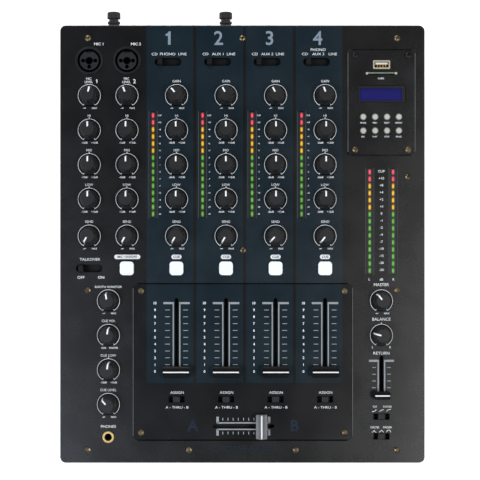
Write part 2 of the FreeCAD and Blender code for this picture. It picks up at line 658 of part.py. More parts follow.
def make_top_panel():
    """Control panel: a plate with every opening, and straps that carry the fader plate."""
    body = new_body("top_panel")
    underside = "0 - panel_sheet"
    outline = new_sketch(body, lift=underside)
    draw_rounded(outline, "0", "0", "panel_width", "panel_depth", "panel_corner")
    pad(body, outline, "panel_sheet")
    round_edges(body, "panel_edge", lambda edge, middle: abs(middle.z) < 0.01, chamfer=True)
    for batch in in_batches(KNOBS):
        shafts = new_sketch(body, lift=underside)
        for name, x, y, turn in batch:
            draw_circle(shafts, x, y, "bushing_size + hole_gap")
        pocket(body, shafts, along_normal=True)
    for batch in in_batches(FLANGE_SCREWS + PILLAR_SCREWS + PLAYER_SCREWS):
        fixings = new_sketch(body, lift=underside)
        for x, y in batch:
            draw_circle(fixings, x, y, "screw_size + hole_gap")
        pocket(body, fixings, along_normal=True)
    sockets = new_sketch(body, lift=underside)
    for mic in MICS:
        draw_circle(sockets, mic_x(mic), "combo_y", "combo_barrel + 2 * hole_gap")
    draw_circle(sockets, "left_column_x", "phones_y", "phones_barrel + 2 * hole_gap")
    pocket(body, sockets, along_normal=True)
    for batch in in_batches(SELECTORS + [TALKOVER], 3):
        slots = new_sketch(body, lift=underside)
        for name, x, y in batch:
            draw_slot(slots, x, y, "selector_slot", "selector_width")
        pocket(body, slots, along_normal=True)
    for batch in in_batches(BUTTONS, 2):
        button_holes = new_sketch(body, lift=underside)
        for x, y in batch:
            draw_rounded(button_holes, x, y, "button_size + 2 * hole_gap", "button_size + 2 * hole_gap",
                         "button_corner + hole_gap")
        pocket(body, button_holes, along_normal=True)
    for batch in in_batches(METERS, 2):
        meter_holes = new_sketch(body, lift=underside)
        for x, y in batch:
            draw_rounded(meter_holes, x, y, "meter_width", "meter_window", "1")
        pocket(body, meter_holes, along_normal=True)
    windows = new_sketch(body, lift=underside)
    draw_slot(windows, "right_column_x", RETURN_FADER_Y, "return_travel + slot_spare", "fader_slot", True)
    for x, y in CURVES:
        draw_box(windows, x, y, "switch_window", "switch_width")
    pocket(body, windows, along_normal=True)
    plate_holes = new_sketch(body, lift=underside)
    draw_rounded(plate_holes, "player_x", "player_y", "player_hole_width", "player_hole_depth", "2")
    draw_rounded(plate_holes, "fader_plate_x", "fader_plate_y", "fader_plate_width + 2 * hole_gap",
                 "fader_plate_depth + 2 * hole_gap", "fader_plate_corner + hole_gap")
    pocket(body, plate_holes, along_normal=True)
    for side in (-1, 1):
        strap = new_sketch(body, lift="0 - panel_sheet - strap_sheet")
        middle = f"fader_plate_x + {side} * (fader_plate_width / 2 - strap_reach + strap_width / 2)"
        draw_box(strap, middle, "fader_plate_y", "strap_width", "fader_plate_depth")
        for x, y in FADER_SCREWS:
            if value(x) * side > 0:
                draw_circle(strap, x, y, "screw_size + hole_gap")
        pad(body, strap, "strap_sheet")
    return place(body, y=PANEL_Y, z=PANEL_TOP)


def make_fader_plate():
    """Plate let into the panel, slotted for the five faders and the assign switches."""
    body = new_body("fader_panel")
    underside = "0 - panel_sheet"
    outline = new_sketch(body, lift=underside)
    draw_rounded(outline, "fader_plate_x", "fader_plate_y", "fader_plate_width", "fader_plate_depth",
                 "fader_plate_corner")
    pad(body, outline, "fader_plate_sheet")
    for channel in CHANNELS:
        slot = new_sketch(body, lift=underside)
        draw_slot(slot, channel_x(channel), CHANNEL_FADER_Y, "channel_travel + slot_spare", "fader_slot",
                  True)
        draw_box(slot, channel_x(channel), ASSIGN_Y, "switch_window", "switch_width")
        pocket(body, slot, along_normal=True)
    cross_slot = new_sketch(body, lift=underside)
    draw_slot(cross_slot, "cross_x", "cross_y", "cross_travel + slot_spare", "fader_slot")
    for x, y in FADER_SCREWS:
        draw_circle(cross_slot, x, y, "screw_size + hole_gap")
    pocket(body, cross_slot, along_normal=True)
    return place(body, y=PANEL_Y, z=PANEL_TOP)


def make_player_plate():
    """Cover plate of the media player, with openings for its sockets, display and keys."""
    body = new_body("player_panel")
    outline = new_sketch(body)
    draw_rounded(outline, "player_x", "player_y", "player_width", "player_depth", "player_corner")
    pad(body, outline, "player_sheet")
    round_edges(body, "player_sheet / 2", lambda edge, middle: middle.z > value("player_sheet") - 0.01,
                chamfer=True)
    openings = new_sketch(body)
    draw_rounded(openings, "player_x", "stick_y", "stick_width + 2 * hole_gap",
                 "stick_height + 2 * hole_gap", "0.6")
    draw_slot(openings, "player_x", "card_y", "card_width", "card_height")
    draw_rounded(openings, "player_x", "display_y", "display_width", "display_height", "0.6")
    pocket(body, openings, along_normal=True)
    round_holes = new_sketch(body)
    for x, y in PLAYER_KEYS:
        draw_circle(round_holes, x, y, "key_size + 2 * hole_gap")
    for x, y in PLAYER_SCREWS:
        draw_circle(round_holes, x, y, "screw_size + hole_gap")
    pocket(body, round_holes, along_normal=True)
    return place(body, y=PANEL_Y, z=PANEL_TOP)


def make_knob():
    """Tapered, fluted knob cap with a pointer groove over its top and down its side."""
    body = new_body("knob_cap")
    bore = "shaft_size / 2 + seat_gap"
    skirt_top = "knob_gap + knob_skirt"
    revolve(body, [
        ("knob_cavity / 2", "knob_gap"), ("knob_base / 2 - 0.4", "knob_gap"),
        ("knob_base / 2", "knob_gap + 0.4"), ("knob_base / 2", f"{skirt_top} - 0.5"),
        ("knob_base / 2 - 0.5", skirt_top), ("knob_grip / 2", skirt_top),
        ("knob_top / 2", "knob_height - knob_edge"), ("knob_top / 2 - knob_edge", "knob_height"),
        ("0", "knob_height"), ("0", "shaft_reach + 2 * seat_gap"), (bore, "shaft_reach + 2 * seat_gap"),
        (bore, "cavity_height"), ("knob_cavity / 2", "cavity_height")])
    run = value("knob_height - knob_edge - knob_gap - knob_skirt")
    slope = math.degrees(math.atan2(value("(knob_grip - knob_top) / 2"), run))
    plane = origin_part(body, "XY_Plane")
    flute = body.newObject("PartDesign::SubtractiveCylinder", "flute")
    bind(flute, "Radius", "flute_size / 2")
    bind(flute, "Height", "2 * knob_height")
    flute.AttachmentSupport = (plane, [""])
    flute.MapMode = "FlatFace"
    flute_foot = value(f"{skirt_top} + flute_start")
    beside_pointer = math.radians(90 + 180 / value("flute_count"))
    outward = Vector(math.cos(beside_pointer), math.sin(beside_pointer), 0)
    taper = math.tan(math.radians(slope)) * value("flute_start")
    start = outward * (value("knob_grip / 2 + flute_size / 4") - taper) + Vector(0, 0, flute_foot)
    lean = Rotation(Vector(-outward.y, outward.x, 0), -slope)
    flute.AttachmentOffset = Placement(start, lean)
    doc.recompute()
    pattern_round(body, flute, "flute_count")
    top_groove = new_sketch(body, lift="knob_height")
    draw_box(top_groove, "0", "pointer_start + knob_base / 4", "pointer_width", "knob_base / 2")
    pocket(body, top_groove, "pointer_depth")
    side_groove = body.newObject("PartDesign::SubtractiveBox", "side_groove")
    bind(side_groove, "Length", "pointer_width")
    bind(side_groove, "Width", "knob_base")
    bind(side_groove, "Height", "2 * knob_height")
    side_groove.AttachmentSupport = (plane, [""])
    side_groove.MapMode = "FlatFace"
    sunk = value("knob_grip / 2 - pointer_depth") - taper
    foot = Vector(-value("pointer_width") / 2, sunk, flute_foot)
    side_groove.AttachmentOffset = Placement(foot, Rotation(Vector(1, 0, 0), slope))
    doc.recompute()
    return body


def make_shaft():
    """Control shaft with a flat that the knob grips."""
    body = new_body("knob_shaft")
    bottom = "0.4 - board_drop + 1"
    round_part = new_sketch(body, lift=bottom)
    draw_circle(round_part, "0", "0", "shaft_size")
    pad(body, round_part, f"shaft_reach - ({bottom})")
    flat = new_sketch(body, lift="shaft_reach")
    draw_box(flat, "0", "shaft_size - shaft_flat", "2 * shaft_size", "shaft_size")
    pocket(body, flat, "shaft_reach - cavity_height")
    return body


def make_pot():
    """Rotary control below the panel: housing and threaded bushing, bored for the shaft."""
    body = new_body("rotary_control")
    housing = new_sketch(body, lift="0 - board_drop")
    draw_rounded(housing, "0", "0", "pot_width", "pot_length", "1")
    pad(body, housing, "board_drop - panel_sheet")
    bushing = new_sketch(body, lift="0 - panel_sheet")
    draw_circle(bushing, "0", "0", "bushing_size")
    pad(body, bushing, "panel_sheet + bushing_reach")
    bore = new_sketch(body, lift="bushing_reach")
    draw_circle(bore, "0", "0", "shaft_size + 2 * turn_gap")
    pocket(body, bore, "bushing_reach + board_drop - 1")
    return body


def make_nut():
    """Flat nut that holds a rotary control to the panel."""
    body = new_body("bushing_nut")
    outline = new_sketch(body)
    draw_hexagon(outline, "nut_across")
    draw_circle(outline, "0", "0", "bushing_size + 2 * seat_gap")
    pad(body, outline, "nut_height")
    return body


def make_fader_frame(name, travel):
    """Steel frame of a slide control, slotted along the top; the travel runs along y."""
    body = new_body(name)
    length = f"{travel} + frame_spare"
    shell = new_sketch(body, lift="0 - board_drop")
    draw_box(shell, "0", "0", "frame_width", length)
    pad(body, shell, "board_drop - panel_sheet")
    inside = new_sketch(body, lift="0 - board_drop")
    draw_box(inside, "0", "0", "frame_width - 2 * frame_sheet", f"{length} - 2 * frame_sheet")
    pocket(body, inside, "board_drop - panel_sheet - frame_sheet", along_normal=True)
    slot = new_sketch(body, lift="0 - board_drop")
    draw_slot(slot, "0", "0", f"{travel} + slot_spare", "fader_slot", True)
    pocket(body, slot, along_normal=True)
    return body


def make_carriage():
    """Slider inside a fader frame with the lever that carries the cap; it moves along y."""
    body = new_body("fader_carriage")
    block_top = "0 - panel_sheet - frame_sheet - slide_gap"
    block = new_sketch(body, lift=f"{block_top} - carriage_height")
    draw_rounded(block, "0", "0", "frame_width - 2 * frame_sheet - 2 * slide_gap", "carriage_length", "0.8")
    pad(body, block, "carriage_height")
    lever = new_sketch(body, lift=block_top)
    draw_rounded(lever, "0", "0", "lever_sheet", "lever_width", "0.4")
    pad(body, lever, f"lever_reach - ({block_top})")
    return body


def make_fader_cap(kind):
    """Fader cap with a finger hollow on each side of a ridge and an index groove along the ridge."""
    body = new_body(f"{kind}_cap")
    width, length, height = f"{kind}_cap_width", f"{kind}_cap_length", f"{kind}_cap_height"
    top = f"cap_lift + {height}"
    outline = new_sketch(body, lift="cap_lift")
    draw_rounded(outline, "0", "0", width, length, "cap_corner")
    pad(body, outline, height)
    hollows = new_sketch(body, "YZ_Plane")
    reach = f"{length} / 2 + hollow_out"
    size = f"2 * sqrt(({reach} - cap_ridge / 2)^2 + hollow_up^2)"
    for side in (-1, 1):
        draw_circle(hollows, f"{side} * ({reach})", f"{top} + hollow_up", size)
    pocket(body, hollows, f"2 * {width}", symmetric=True)
    groove = new_sketch(body, lift=top)
    draw_box(groove, "0", "0", f"2 * {width}", "cap_line")
    pocket(body, groove, "cap_line_depth")
    grip = new_sketch(body, lift="cap_lift")
    draw_rounded(grip, "0", "0", "lever_sheet + 2 * seat_gap", "lever_width + 2 * seat_gap", "0.4")
    pocket(body, grip, "lever_reach - cap_lift + 2 * seat_gap", along_normal=True)
    return body


def make_selector_lever():
    """Lever of a selector: a round-cornered foot in the switch and a waisted finger above the panel."""
    body = new_body("selector_lever")
    foot = "1.4 - board_drop + slide_gap"
    block = new_sketch(body, lift=foot)
    draw_rounded(block, "0", "0", "selector_lever", "selector_width - 2 * slide_gap", "selector_corner")
    pad(body, block, f"0 - ({foot})")
    half = "selector_lever / 2"
    edge = "selector_reach - selector_edge"
    outline = new_sketch(body, "XZ_Plane")
    draw_polygon(outline, [
        (f"0 - {half}", "0 - panel_sheet"), (half, "0 - panel_sheet"), (half, "0"),
        (f"{half} - selector_waist", edge), (f"{half} - selector_waist - selector_edge", "selector_reach"),
        (f"selector_waist + selector_edge - {half}", "selector_reach"), (f"selector_waist - {half}", edge),
        (f"0 - {half}", "0")])
    pad(body, outline, "selector_finger", symmetric=True)
    return body


def make_selector_switch():
    """Selector switch below the panel, hollowed where its lever runs."""
    body = new_body("selector_switch")
    block = new_sketch(body, lift="0 - board_drop")
    draw_rounded(block, "0", "0", "selector_slot + 5", "selector_width + 4", "1")
    pad(body, block, "board_drop - panel_sheet")
    run = new_sketch(body, lift="0 - panel_sheet")
    draw_slot(run, "0", "0", "selector_slot", "selector_width")
    pocket(body, run, "board_drop - panel_sheet - 1.4")
    return body


def make_slide_slider():
    """Ridged slider of a small slide switch."""
    body = new_body("switch_slider")
    foot = "1.4 - board_drop + slide_gap"
    block = new_sketch(body, lift=foot)
    draw_box(block, "0", "0", "switch_slider", "switch_width - 2 * slide_gap")
    pad(body, block, f"switch_reach - ({foot})")
    ridges = new_sketch(body, "XZ_Plane")
    for step in (-1, 0, 1):
        draw_box(ridges, f"{step} * switch_slider / 3.5", "switch_reach", "switch_slider / 7",
                 "2 * switch_ridge")
    pocket(body, ridges, "switch_width", symmetric=True)
    return body


def make_slide_switch():
    """Small slide switch below the panel, hollowed where its slider runs."""
    body = new_body("slide_switch")
    block = new_sketch(body, lift="0 - board_drop")
    draw_box(block, "0", "0", "switch_window + 4", "switch_width + 3")
    pad(body, block, "board_drop - panel_sheet")
    run = new_sketch(body, lift="0 - panel_sheet")
    draw_box(run, "0", "0", "switch_window", "switch_width")
    pocket(body, run, "board_drop - panel_sheet - 1.4")
    return body


def make_button():
    """Lit push button: a soft-edged square cap on a stem."""
    body = new_body("lit_button")
    cap = new_sketch(body, lift="0 - panel_sheet")
    draw_rounded(cap, "0", "0", "button_size", "button_size", "button_corner")
    pad(body, cap, "panel_sheet + button_reach")
    top = value("button_reach")
    round_edges(body, "button_edge", lambda edge, middle: abs(middle.z - top) < 0.01)
    stem = new_sketch(body, lift="0 - panel_sheet")
    draw_box(stem, "0", "0", "button_stem", "button_stem")
    stem_pad = pad(body, stem, "board_drop - panel_sheet - 2 - button_travel - slide_gap")
    stem_pad.Reversed = True
    doc.recompute()
    return body


def make_button_switch():
    """Push switch under a lit button."""
    body = new_body("button_switch")
    block = new_sketch(body, lift="0 - board_drop")
    draw_rounded(block, "0", "0", "button_size - 3", "button_size - 3", "0.8")
    pad(body, block, "2")
    return body


def make_meter_bar():
    """Black bar behind a meter window with a hole for every lamp."""
    body = new_body("meter_bar")
    bar = new_sketch(body, lift="0 - board_drop")
    draw_rounded(bar, "0", "0", "meter_width - 2 * hole_gap", "meter_window - 2 * hole_gap", "0.7")
    pad(body, bar, "board_drop - meter_sink")
    first_hole = new_sketch(body, lift="0 - meter_sink")
    draw_box(first_hole, "0", "0 - 7 * lamp_pitch", "lamp_width + 0.2", "lamp_length + 0.2")
    cut = pocket(body, first_hole, "4")
    pattern_along_y(body, cut, "14 * lamp_pitch", "15")
    return body


def make_lamp():
    """One meter lamp."""
    body = new_body("meter_lamp")
    block = new_sketch(body, lift="0 - meter_sink - 4")
    draw_box(block, "0", "0", "lamp_width", "lamp_length")
    pad(body, block, "4 + lamp_proud")
    return body


def make_combo_socket():
    """Microphone socket: rim, ring groove, and a boss with a plug bore and three pin holes."""
    body = new_body("combo_socket")
    floor = "0 - combo_depth"
    sunk = "combo_rim_height - combo_sink"
    revolve(body, [
        ("0", floor), ("combo_barrel / 2", floor), ("combo_barrel / 2", "0"), ("combo_rim / 2", "0"),
        ("combo_rim / 2", "combo_rim_height - 0.4"), ("combo_rim / 2 - 0.4", "combo_rim_height"),
        ("combo_groove / 2", "combo_rim_height"), ("combo_groove / 2", "0 - groove_depth"),
        ("combo_boss / 2", "0 - groove_depth"), ("combo_boss / 2", sunk), ("0", sunk)])
    bore = new_sketch(body, lift=sunk)
    draw_circle(bore, "0", "0", "jack_bore")
    pocket(body, bore, f"{sunk} + jack_depth")
    pins = new_sketch(body, lift=sunk)
    for x, y in (("0 - pin_circle / 2", "0"), ("pin_circle / 2", "0"), ("0", "0 - pin_circle / 2")):
        draw_circle(pins, x, y, "pin_bore")
    pocket(body, pins, f"{sunk} + groove_depth")
    key = new_sketch(body, lift="combo_rim_height")
    draw_box(key, "0", "combo_boss / 2", "key_width", "3")
    pocket(body, key, "3")
    return body


def make_phones_socket():
    """Headphone socket: a round nut on the panel, thread, and a housing below."""
    body = new_body("phones_socket")
    floor = "0 - jack_depth - 2"
    block = new_sketch(body, lift=floor)
    draw_rounded(block, "0", "0", "phones_block", "phones_block", "1")
    pad(body, block, "jack_depth + 2 - panel_sheet")
    barrel = new_sketch(body, lift="0 - panel_sheet")
    draw_circle(barrel, "0", "0", "phones_barrel")
    pad(body, barrel, "panel_sheet")
    rim = new_sketch(body)
    draw_circle(rim, "0", "0", "phones_rim")
    pad(body, rim, "phones_rim_height")
    rim_top = value("phones_rim_height")
    round_edges(body, "0.5", lambda edge, middle: abs(middle.z - rim_top) < 0.01)
    bore = new_sketch(body, lift="phones_rim_height")
    draw_circle(bore, "0", "0", "jack_bore")
    pocket(body, bore, "phones_rim_height + jack_depth")
    return body


def make_stick_socket():
    """Memory stick socket: a thin shell with a flared lip and a contact tongue."""
    body = new_body("stick_socket")
    floor = "0 - player_board_drop"
    shell = new_sketch(body, lift=floor)
    draw_rounded(shell, "0", "0", "stick_width", "stick_height", "0.5")
    pad(body, shell, "player_board_drop + player_sheet")
    lip = new_sketch(body, lift="player_sheet")
    draw_rounded(lip, "0", "0", "stick_width + 2 * stick_lip", "stick_height + 2 * stick_lip", "0.8")
    pad(body, lip, "stick_wall")
    mouth = new_sketch(body, lift="player_sheet + stick_wall")
    draw_box(mouth, "0", "0", "stick_width - 2 * stick_wall", "stick_height - 2 * stick_wall")
    pocket(body, mouth, "player_board_drop + player_sheet - 1")
    tongue = new_sketch(body, lift="1 - player_board_drop")
    draw_box(tongue, "0", "1", "stick_width - 2.2", "1.9")
    pad(body, tongue, "player_board_drop - 2")
    return body


def make_card_guide():
    """Memory card guide below its slot in the plate."""
    body = new_body("card_guide")
    block = new_sketch(body, lift="0 - player_board_drop")
    draw_box(block, "0", "0", "card_width + 1", "card_height + 2")
    pad(body, block, "player_board_drop - 0.1")
    mouth = new_sketch(body, lift="0 - 0.1")
    draw_box(mouth, "0", "0", "card_mouth", "card_height - 0.3")
    pocket(body, mouth, "player_board_drop - 2")
    return body


def make_display_frame():
    """Display housing with a sunk window."""
    body = new_body("display_frame")
    block = new_sketch(body, lift="0 - player_board_drop")
    draw_rounded(block, "0", "0", "display_width - 2 * hole_gap", "display_height - 2 * hole_gap", "0.5")
    pad(body, block, "player_board_drop + player_sheet - display_sink")
    window = new_sketch(body, lift="player_sheet - display_sink")
    draw_box(window, "0 - 0.5", "0 - 0.6", "glass_width", "glass_height")
    pocket(body, window, "glass_sink + glass_sheet")
    return body


def make_display_glass():
    """Display glass lying in the window of its housing."""
    body = new_body("display_glass")
    pane = new_sketch(body, lift="player_sheet - display_sink - glass_sink - glass_sheet")
    draw_box(pane, "0 - 0.5", "0 - 0.6", "glass_width - 2 * seat_gap", "glass_height - 2 * seat_gap")
    pad(body, pane, "glass_sheet")
    return body


def make_player_key():
    """Round player key with a flange that keeps it under the plate."""
    body = new_body("player_key")
    top = "player_sheet + key_reach"
    revolve(body, [
        ("0", "0 - 2.4"), ("1.6", "0 - 2.4"), ("1.6", "0 - 1.2"), ("key_flange / 2", "0 - 1.2"),
        ("key_flange / 2", "0 - slide_gap"), ("key_size / 2", "0 - slide_gap"),
        ("key_size / 2", f"{top} - 0.5"), ("key_size / 2 - 0.5", top), ("0", top)])
    return body


def make_key_switch():
    """Switch under a player key."""
    body = new_body("key_switch")
    block = new_sketch(body, lift="0 - player_board_drop")
    draw_rounded(block, "0", "0", "6", "6", "0.6")
    pad(body, block, "player_board_drop - 2.4 - key_travel - slide_gap")
    return body


def make_screw():
    """Screw with a domed head and a cross recess; z = 0 lies under the head."""
    body = new_body("screw")
    revolve(body, [
        ("0", "0 - screw_length"), ("screw_size / 2 - 0.4", "0 - screw_length"),
        ("screw_size / 2", "0.4 - screw_length"), ("screw_size / 2", "0"), ("screw_head / 2", "0"),
        ("screw_head / 2", "screw_head_height * 0.4"), ("screw_head * 0.4", "screw_head_height * 0.8"),
        ("screw_head * 0.22", "screw_head_height"), ("0", "screw_head_height")])
    for width, height in (("screw_cross", "screw_head * 0.62"), ("screw_head * 0.62", "screw_cross")):
        slot = new_sketch(body, lift="screw_head_height")
        draw_box(slot, "0", "0", width, height)
        pocket(body, slot, "screw_head_height * 0.7")
    return body


def make_foot():
    """Rubber foot with a sunk screw hole; drawn standing on z = 0."""
    body = new_body("foot")
    hole = "screw_size / 2 + hole_gap"
    revolve(body, [
        ("5", "0"), ("foot_size / 2 - 2", "0"), ("foot_size / 2 - 1.2", "0.8"),
        ("foot_size / 2", "foot_height"), (hole, "foot_height"), (hole, "foot_height / 2"),
        ("5", "foot_height / 2")])
    return body


def make_pillar():
    """Board pillar below the panel, bored for a panel screw."""
    body = new_body("pillar")
    outline = new_sketch(body, lift="0 - board_drop")
    draw_hexagon(outline, "pillar_across")
    draw_circle(outline, "0", "0", "screw_size + 2 * seat_gap")
    pad(body, outline, "board_drop - panel_sheet")
    return body


def make_board(name, left, right, front, rear):
    """Control board below the panel, between four edges in panel coordinates."""
    body = new_body(name)
    outline = new_sketch(body, lift="0 - board_drop - board_sheet")
    draw_polygon(outline, [(left, front), (right, front), (right, rear), (left, rear)])
    pad(body, outline, "board_sheet")
    return place(body, y=PANEL_Y, z=PANEL_TOP)


def make_player_board():
    """Board of the media player behind its plate."""
    body = new_body("player_board")
    outline = new_sketch(body, lift="0 - player_board_drop - board_sheet")
    draw_box(outline, "player_x", "player_y", "player_hole_width - 1", "player_hole_depth - 0.4")
    pad(body, outline, "board_sheet")
    return place(body, y=PANEL_Y, z=PANEL_TOP)


def make_input_board():
    """Upright board behind the phono sockets."""
    body = new_body("input_board")
    face = new_sketch(body, lift="0 - case_sheet - phono_depth - board_sheet")
    middle = "phono_first_x + 2.5 * phono_pitch"
    draw_box(face, middle, "0", "6 * phono_pitch", "phono_block + 8")
    pad(body, face, "board_sheet")
    return on_rear("input_board_placed", [body], "0", "phono_z")


def make_transformer():
    """Mains transformer on the tray floor: core and winding."""
    floor = "foot_height + case_sheet"
    core = new_body("transformer_core")
    stack = new_sketch(core, "XZ_Plane")
    draw_box(stack, "0", "21", "50", "42")
    for side in (-1, 1):
        draw_box(stack, f"{side} * 12.5", "21", "9", "26")
    pad(core, stack, "22", symmetric=True)
    winding = new_body("transformer_winding")
    coil = new_sketch(winding, lift="9")
    draw_rounded(coil, "0", "0", "33", "38", "3")
    draw_box(coil, "0", "0", "16.4", "22.4")
    pad(winding, coil, "24")
    return copy_of("transformer", [core, winding], "104", "86", floor)


def make_phono_block():
    """Housing of four phono sockets behind the rear wall."""
    body = new_body("phono_housing")
    block = new_sketch(body, lift="0 - case_sheet - phono_depth")
    draw_rounded(block, "0", "0", "phono_block", "phono_block", "1")
    pad(body, block, "phono_depth")
    return body


def make_phono_barrel():
    """Barrel of one phono socket with its collar and contact hole."""
    body = new_body("phono_barrel_part")
    bore_floor = "phono_reach - 8"
    revolve(body, [
        ("0", "0 - case_sheet"), ("phono_barrel / 2", "0 - case_sheet"), ("phono_barrel / 2", "0"),
        ("phono_collar / 2", "0"), ("phono_collar / 2", "0.8"), ("phono_barrel / 2", "1.2"),
        ("phono_barrel / 2", "phono_reach - 0.4"), ("phono_barrel / 2 - 0.4", "phono_reach"),
        ("phono_bore / 2", "phono_reach"), ("phono_bore / 2", bore_floor), ("0", bore_floor)])
    return body


def make_balanced_output():
    """Balanced output socket: flange, barrel, round opening and three pins."""
    body = new_body("balanced_output")
    floor = "0 - output_depth"
    flange = new_sketch(body)
    draw_rounded(flange, "0", "0", "output_width", "output_height", "2.5")
    pad(body, flange, "output_flange")
    barrel = new_sketch(body, lift="0 - output_depth - 8")
    draw_circle(barrel, "0", "0", "output_barrel")
    pad(body, barrel, "output_depth + 8")
    opening = new_sketch(body, lift="output_flange")
    draw_circle(opening, "0", "0", "output_bore")
    pocket(body, opening, "output_flange + output_depth")
    fixings = new_sketch(body, lift="output_flange")
    for side in (-1, 1):
        draw_circle(fixings, f"{side} * output_screw_x", f"0 - {side} * output_screw_y",
                    "screw_size + hole_gap")
    pocket(body, fixings, "output_flange")
    for x, y in (("0 - output_pin_circle / 2", "0"), ("output_pin_circle / 2", "0"),
                 ("0", "output_pin_circle / 2")):
        pin = new_sketch(body, lift=floor)
        draw_circle(pin, x, y, "output_pin")
        pad(body, pin, "output_depth - 1")
    return body


def make_inlet():
    """Mains inlet: flange, deep shaped opening and three blades."""
    body = new_body("mains_inlet")
    shell = new_sketch(body, lift="0 - inlet_depth - 4")
    draw_box(shell, "0", "0", "inlet_width", "inlet_height")
    pad(body, shell, "inlet_depth + 4")
    flange = new_sketch(body)
    draw_rounded(flange, "0", "0", "inlet_width + 2 * inlet_flange", "inlet_height + 2 * inlet_flange",
                 "1.5")
    pad(body, flange, "inlet_flange")
    half_width, half_height = "(inlet_width / 2 - inlet_wall)", "(inlet_height / 2 - inlet_wall)"
    opening = new_sketch(body, lift="inlet_flange")
    draw_polygon(opening, [
        (f"0 - {half_width}", half_height), (f"0 - {half_width}", f"4.5 - {half_height}"),
        (f"4.5 - {half_width}", f"0 - {half_height}"), (f"{half_width} - 4.5", f"0 - {half_height}"),
        (half_width, f"4.5 - {half_height}"), (half_width, half_height)])
    pocket(body, opening, "inlet_flange + inlet_depth")
    for x, y in (("0 - 7", "2"), ("7", "2"), ("0", "0 - 2")):
        blade = new_sketch(body, lift="0 - inlet_depth")
        draw_box(blade, x, y, "2", "4")
        pad(body, blade, "inlet_depth - 2")
    return body


def make_rocker_bezel():
    """Housing of the power switch with an open mouth for the rocker and bearing holes for its pin."""
    body = new_body("rocker_bezel_part")
    shell = new_sketch(body, lift="0 - 14")
    draw_box(shell, "0", "0", "rocker_width", "rocker_height")
    pad(body, shell, "14")
    flange = new_sketch(body)
    draw_rounded(flange, "0", "0", "rocker_width + 2 * rocker_bezel", "rocker_height + 2 * rocker_bezel",
                 "1")
    pad(body, flange, "rocker_bezel")
    mouth = new_sketch(body, lift="rocker_bezel")
    draw_box(mouth, "0", "0", "rocker_width - 2 * rocker_wall", "rocker_height - 2 * rocker_wall")
    pocket(body, mouth, "rocker_bezel + 12.4")
    bearing = new_sketch(body, "YZ_Plane")
    draw_circle(bearing, "0", "0 - rocker_pivot", "rocker_pin + 2 * turn_gap")
    pocket(body, bearing, "2 * rocker_width", symmetric=True)
    return body


def make_rocker():
    """Rocker on its pivot pin at z = 0: a drum below and two raised ends that meet in a valley."""
    body = new_body("rocker_key")
    width = "rocker_width - 2 * rocker_wall - 2 * slide_gap"
    outline = new_sketch(body, "YZ_Plane")
    reach = "(rocker_height / 2 - rocker_wall - 1.4)"
    draw_polygon(outline, [
        (f"0 - {reach}", "0"), (f"0 - {reach} * 0.7", f"0 - {reach} * 0.7"), ("0", f"0 - {reach}"),
        (f"{reach} * 0.7", f"0 - {reach} * 0.7"), (reach, "0"),
        (f"{reach} - 0.3", "rocker_pivot + 2.2"), (f"{reach} - 1.2", "rocker_pivot + 2.4"),
        ("0", "rocker_pivot + 0.9"), (f"1.2 - {reach}", "rocker_pivot + 2.4"),
        (f"0.3 - {reach}", "rocker_pivot + 2.2")])
    pad(body, outline, width, symmetric=True)
    pin = new_sketch(body, "YZ_Plane")
    draw_circle(pin, "0", "0", "rocker_pin")
    pad(body, pin, "rocker_width - 2 * slide_gap", symmetric=True)
    return body


def make_ground_post():
    """Ground post: a stud through the wall, a collar, a waist and a knurled cap."""
    body = new_body("ground_post")
    tip = "post_reach + panel_lip"
    cap_foot = f"{tip} - 5.5"
    revolve(body, [
        ("0", "0 - 6"), ("post_stud / 2", "0 - 6"), ("post_stud / 2", "0"), ("post_body / 2", "0"),
        ("post_body / 2", "7.5"), ("post_body / 2 + 0.7", "8"), ("post_body / 2 + 0.7", "9.6"),
        ("post_body / 2 - 0.7", "10"), ("post_body / 2 - 0.7", f"{cap_foot} - 0.6"),
        ("post_cap / 2", cap_foot), ("post_cap / 2", f"{tip} - 0.7"), ("post_cap / 2 - 0.7", tip),
        ("0", tip)])
    groove = body.newObject("PartDesign::SubtractiveCylinder", "knurl")
    groove.Radius = 0.45
    groove.Height = 8
    groove.AttachmentSupport = (origin_part(body, "XY_Plane"), [""])
    groove.MapMode = "FlatFace"
    bind(groove, "AttachmentOffset.Base.x", "post_cap / 2 + 0.1")
    bind(groove, "AttachmentOffset.Base.z", f"{cap_foot} - 1")
    doc.recompute()
    pattern_round(body, groove, "20")
    return body


nodes = [make_base_case(), make_top_panel(), make_fader_plate(), make_player_plate()]

# Knobs, each a cap on its own shaft.
knob_cap = make_knob()
knob_shaft = make_shaft()
for name, x, y, turn in KNOBS:
    nodes.append(on_panel(name, [knob_cap, knob_shaft], x, y, turn))

# Faders, each a cap on its own carriage, standing where the desk was left.
carriage = make_carriage()
channel_cap = make_fader_cap("channel")
for channel in CHANNELS:
    rest = "fader_top_y - channel_travel"
    nodes.append(on_panel(f"ch{channel + 1}_fader", [channel_cap, carriage], channel_x(channel), rest))
nodes.append(on_panel("cross_fader", [make_fader_cap("cross"), carriage], "cross_x + cross_rest", "cross_y",
                      90))
nodes.append(on_panel("return_fader", [make_fader_cap("return"), carriage], "right_column_x",
                      "return_top_y - return_travel"))

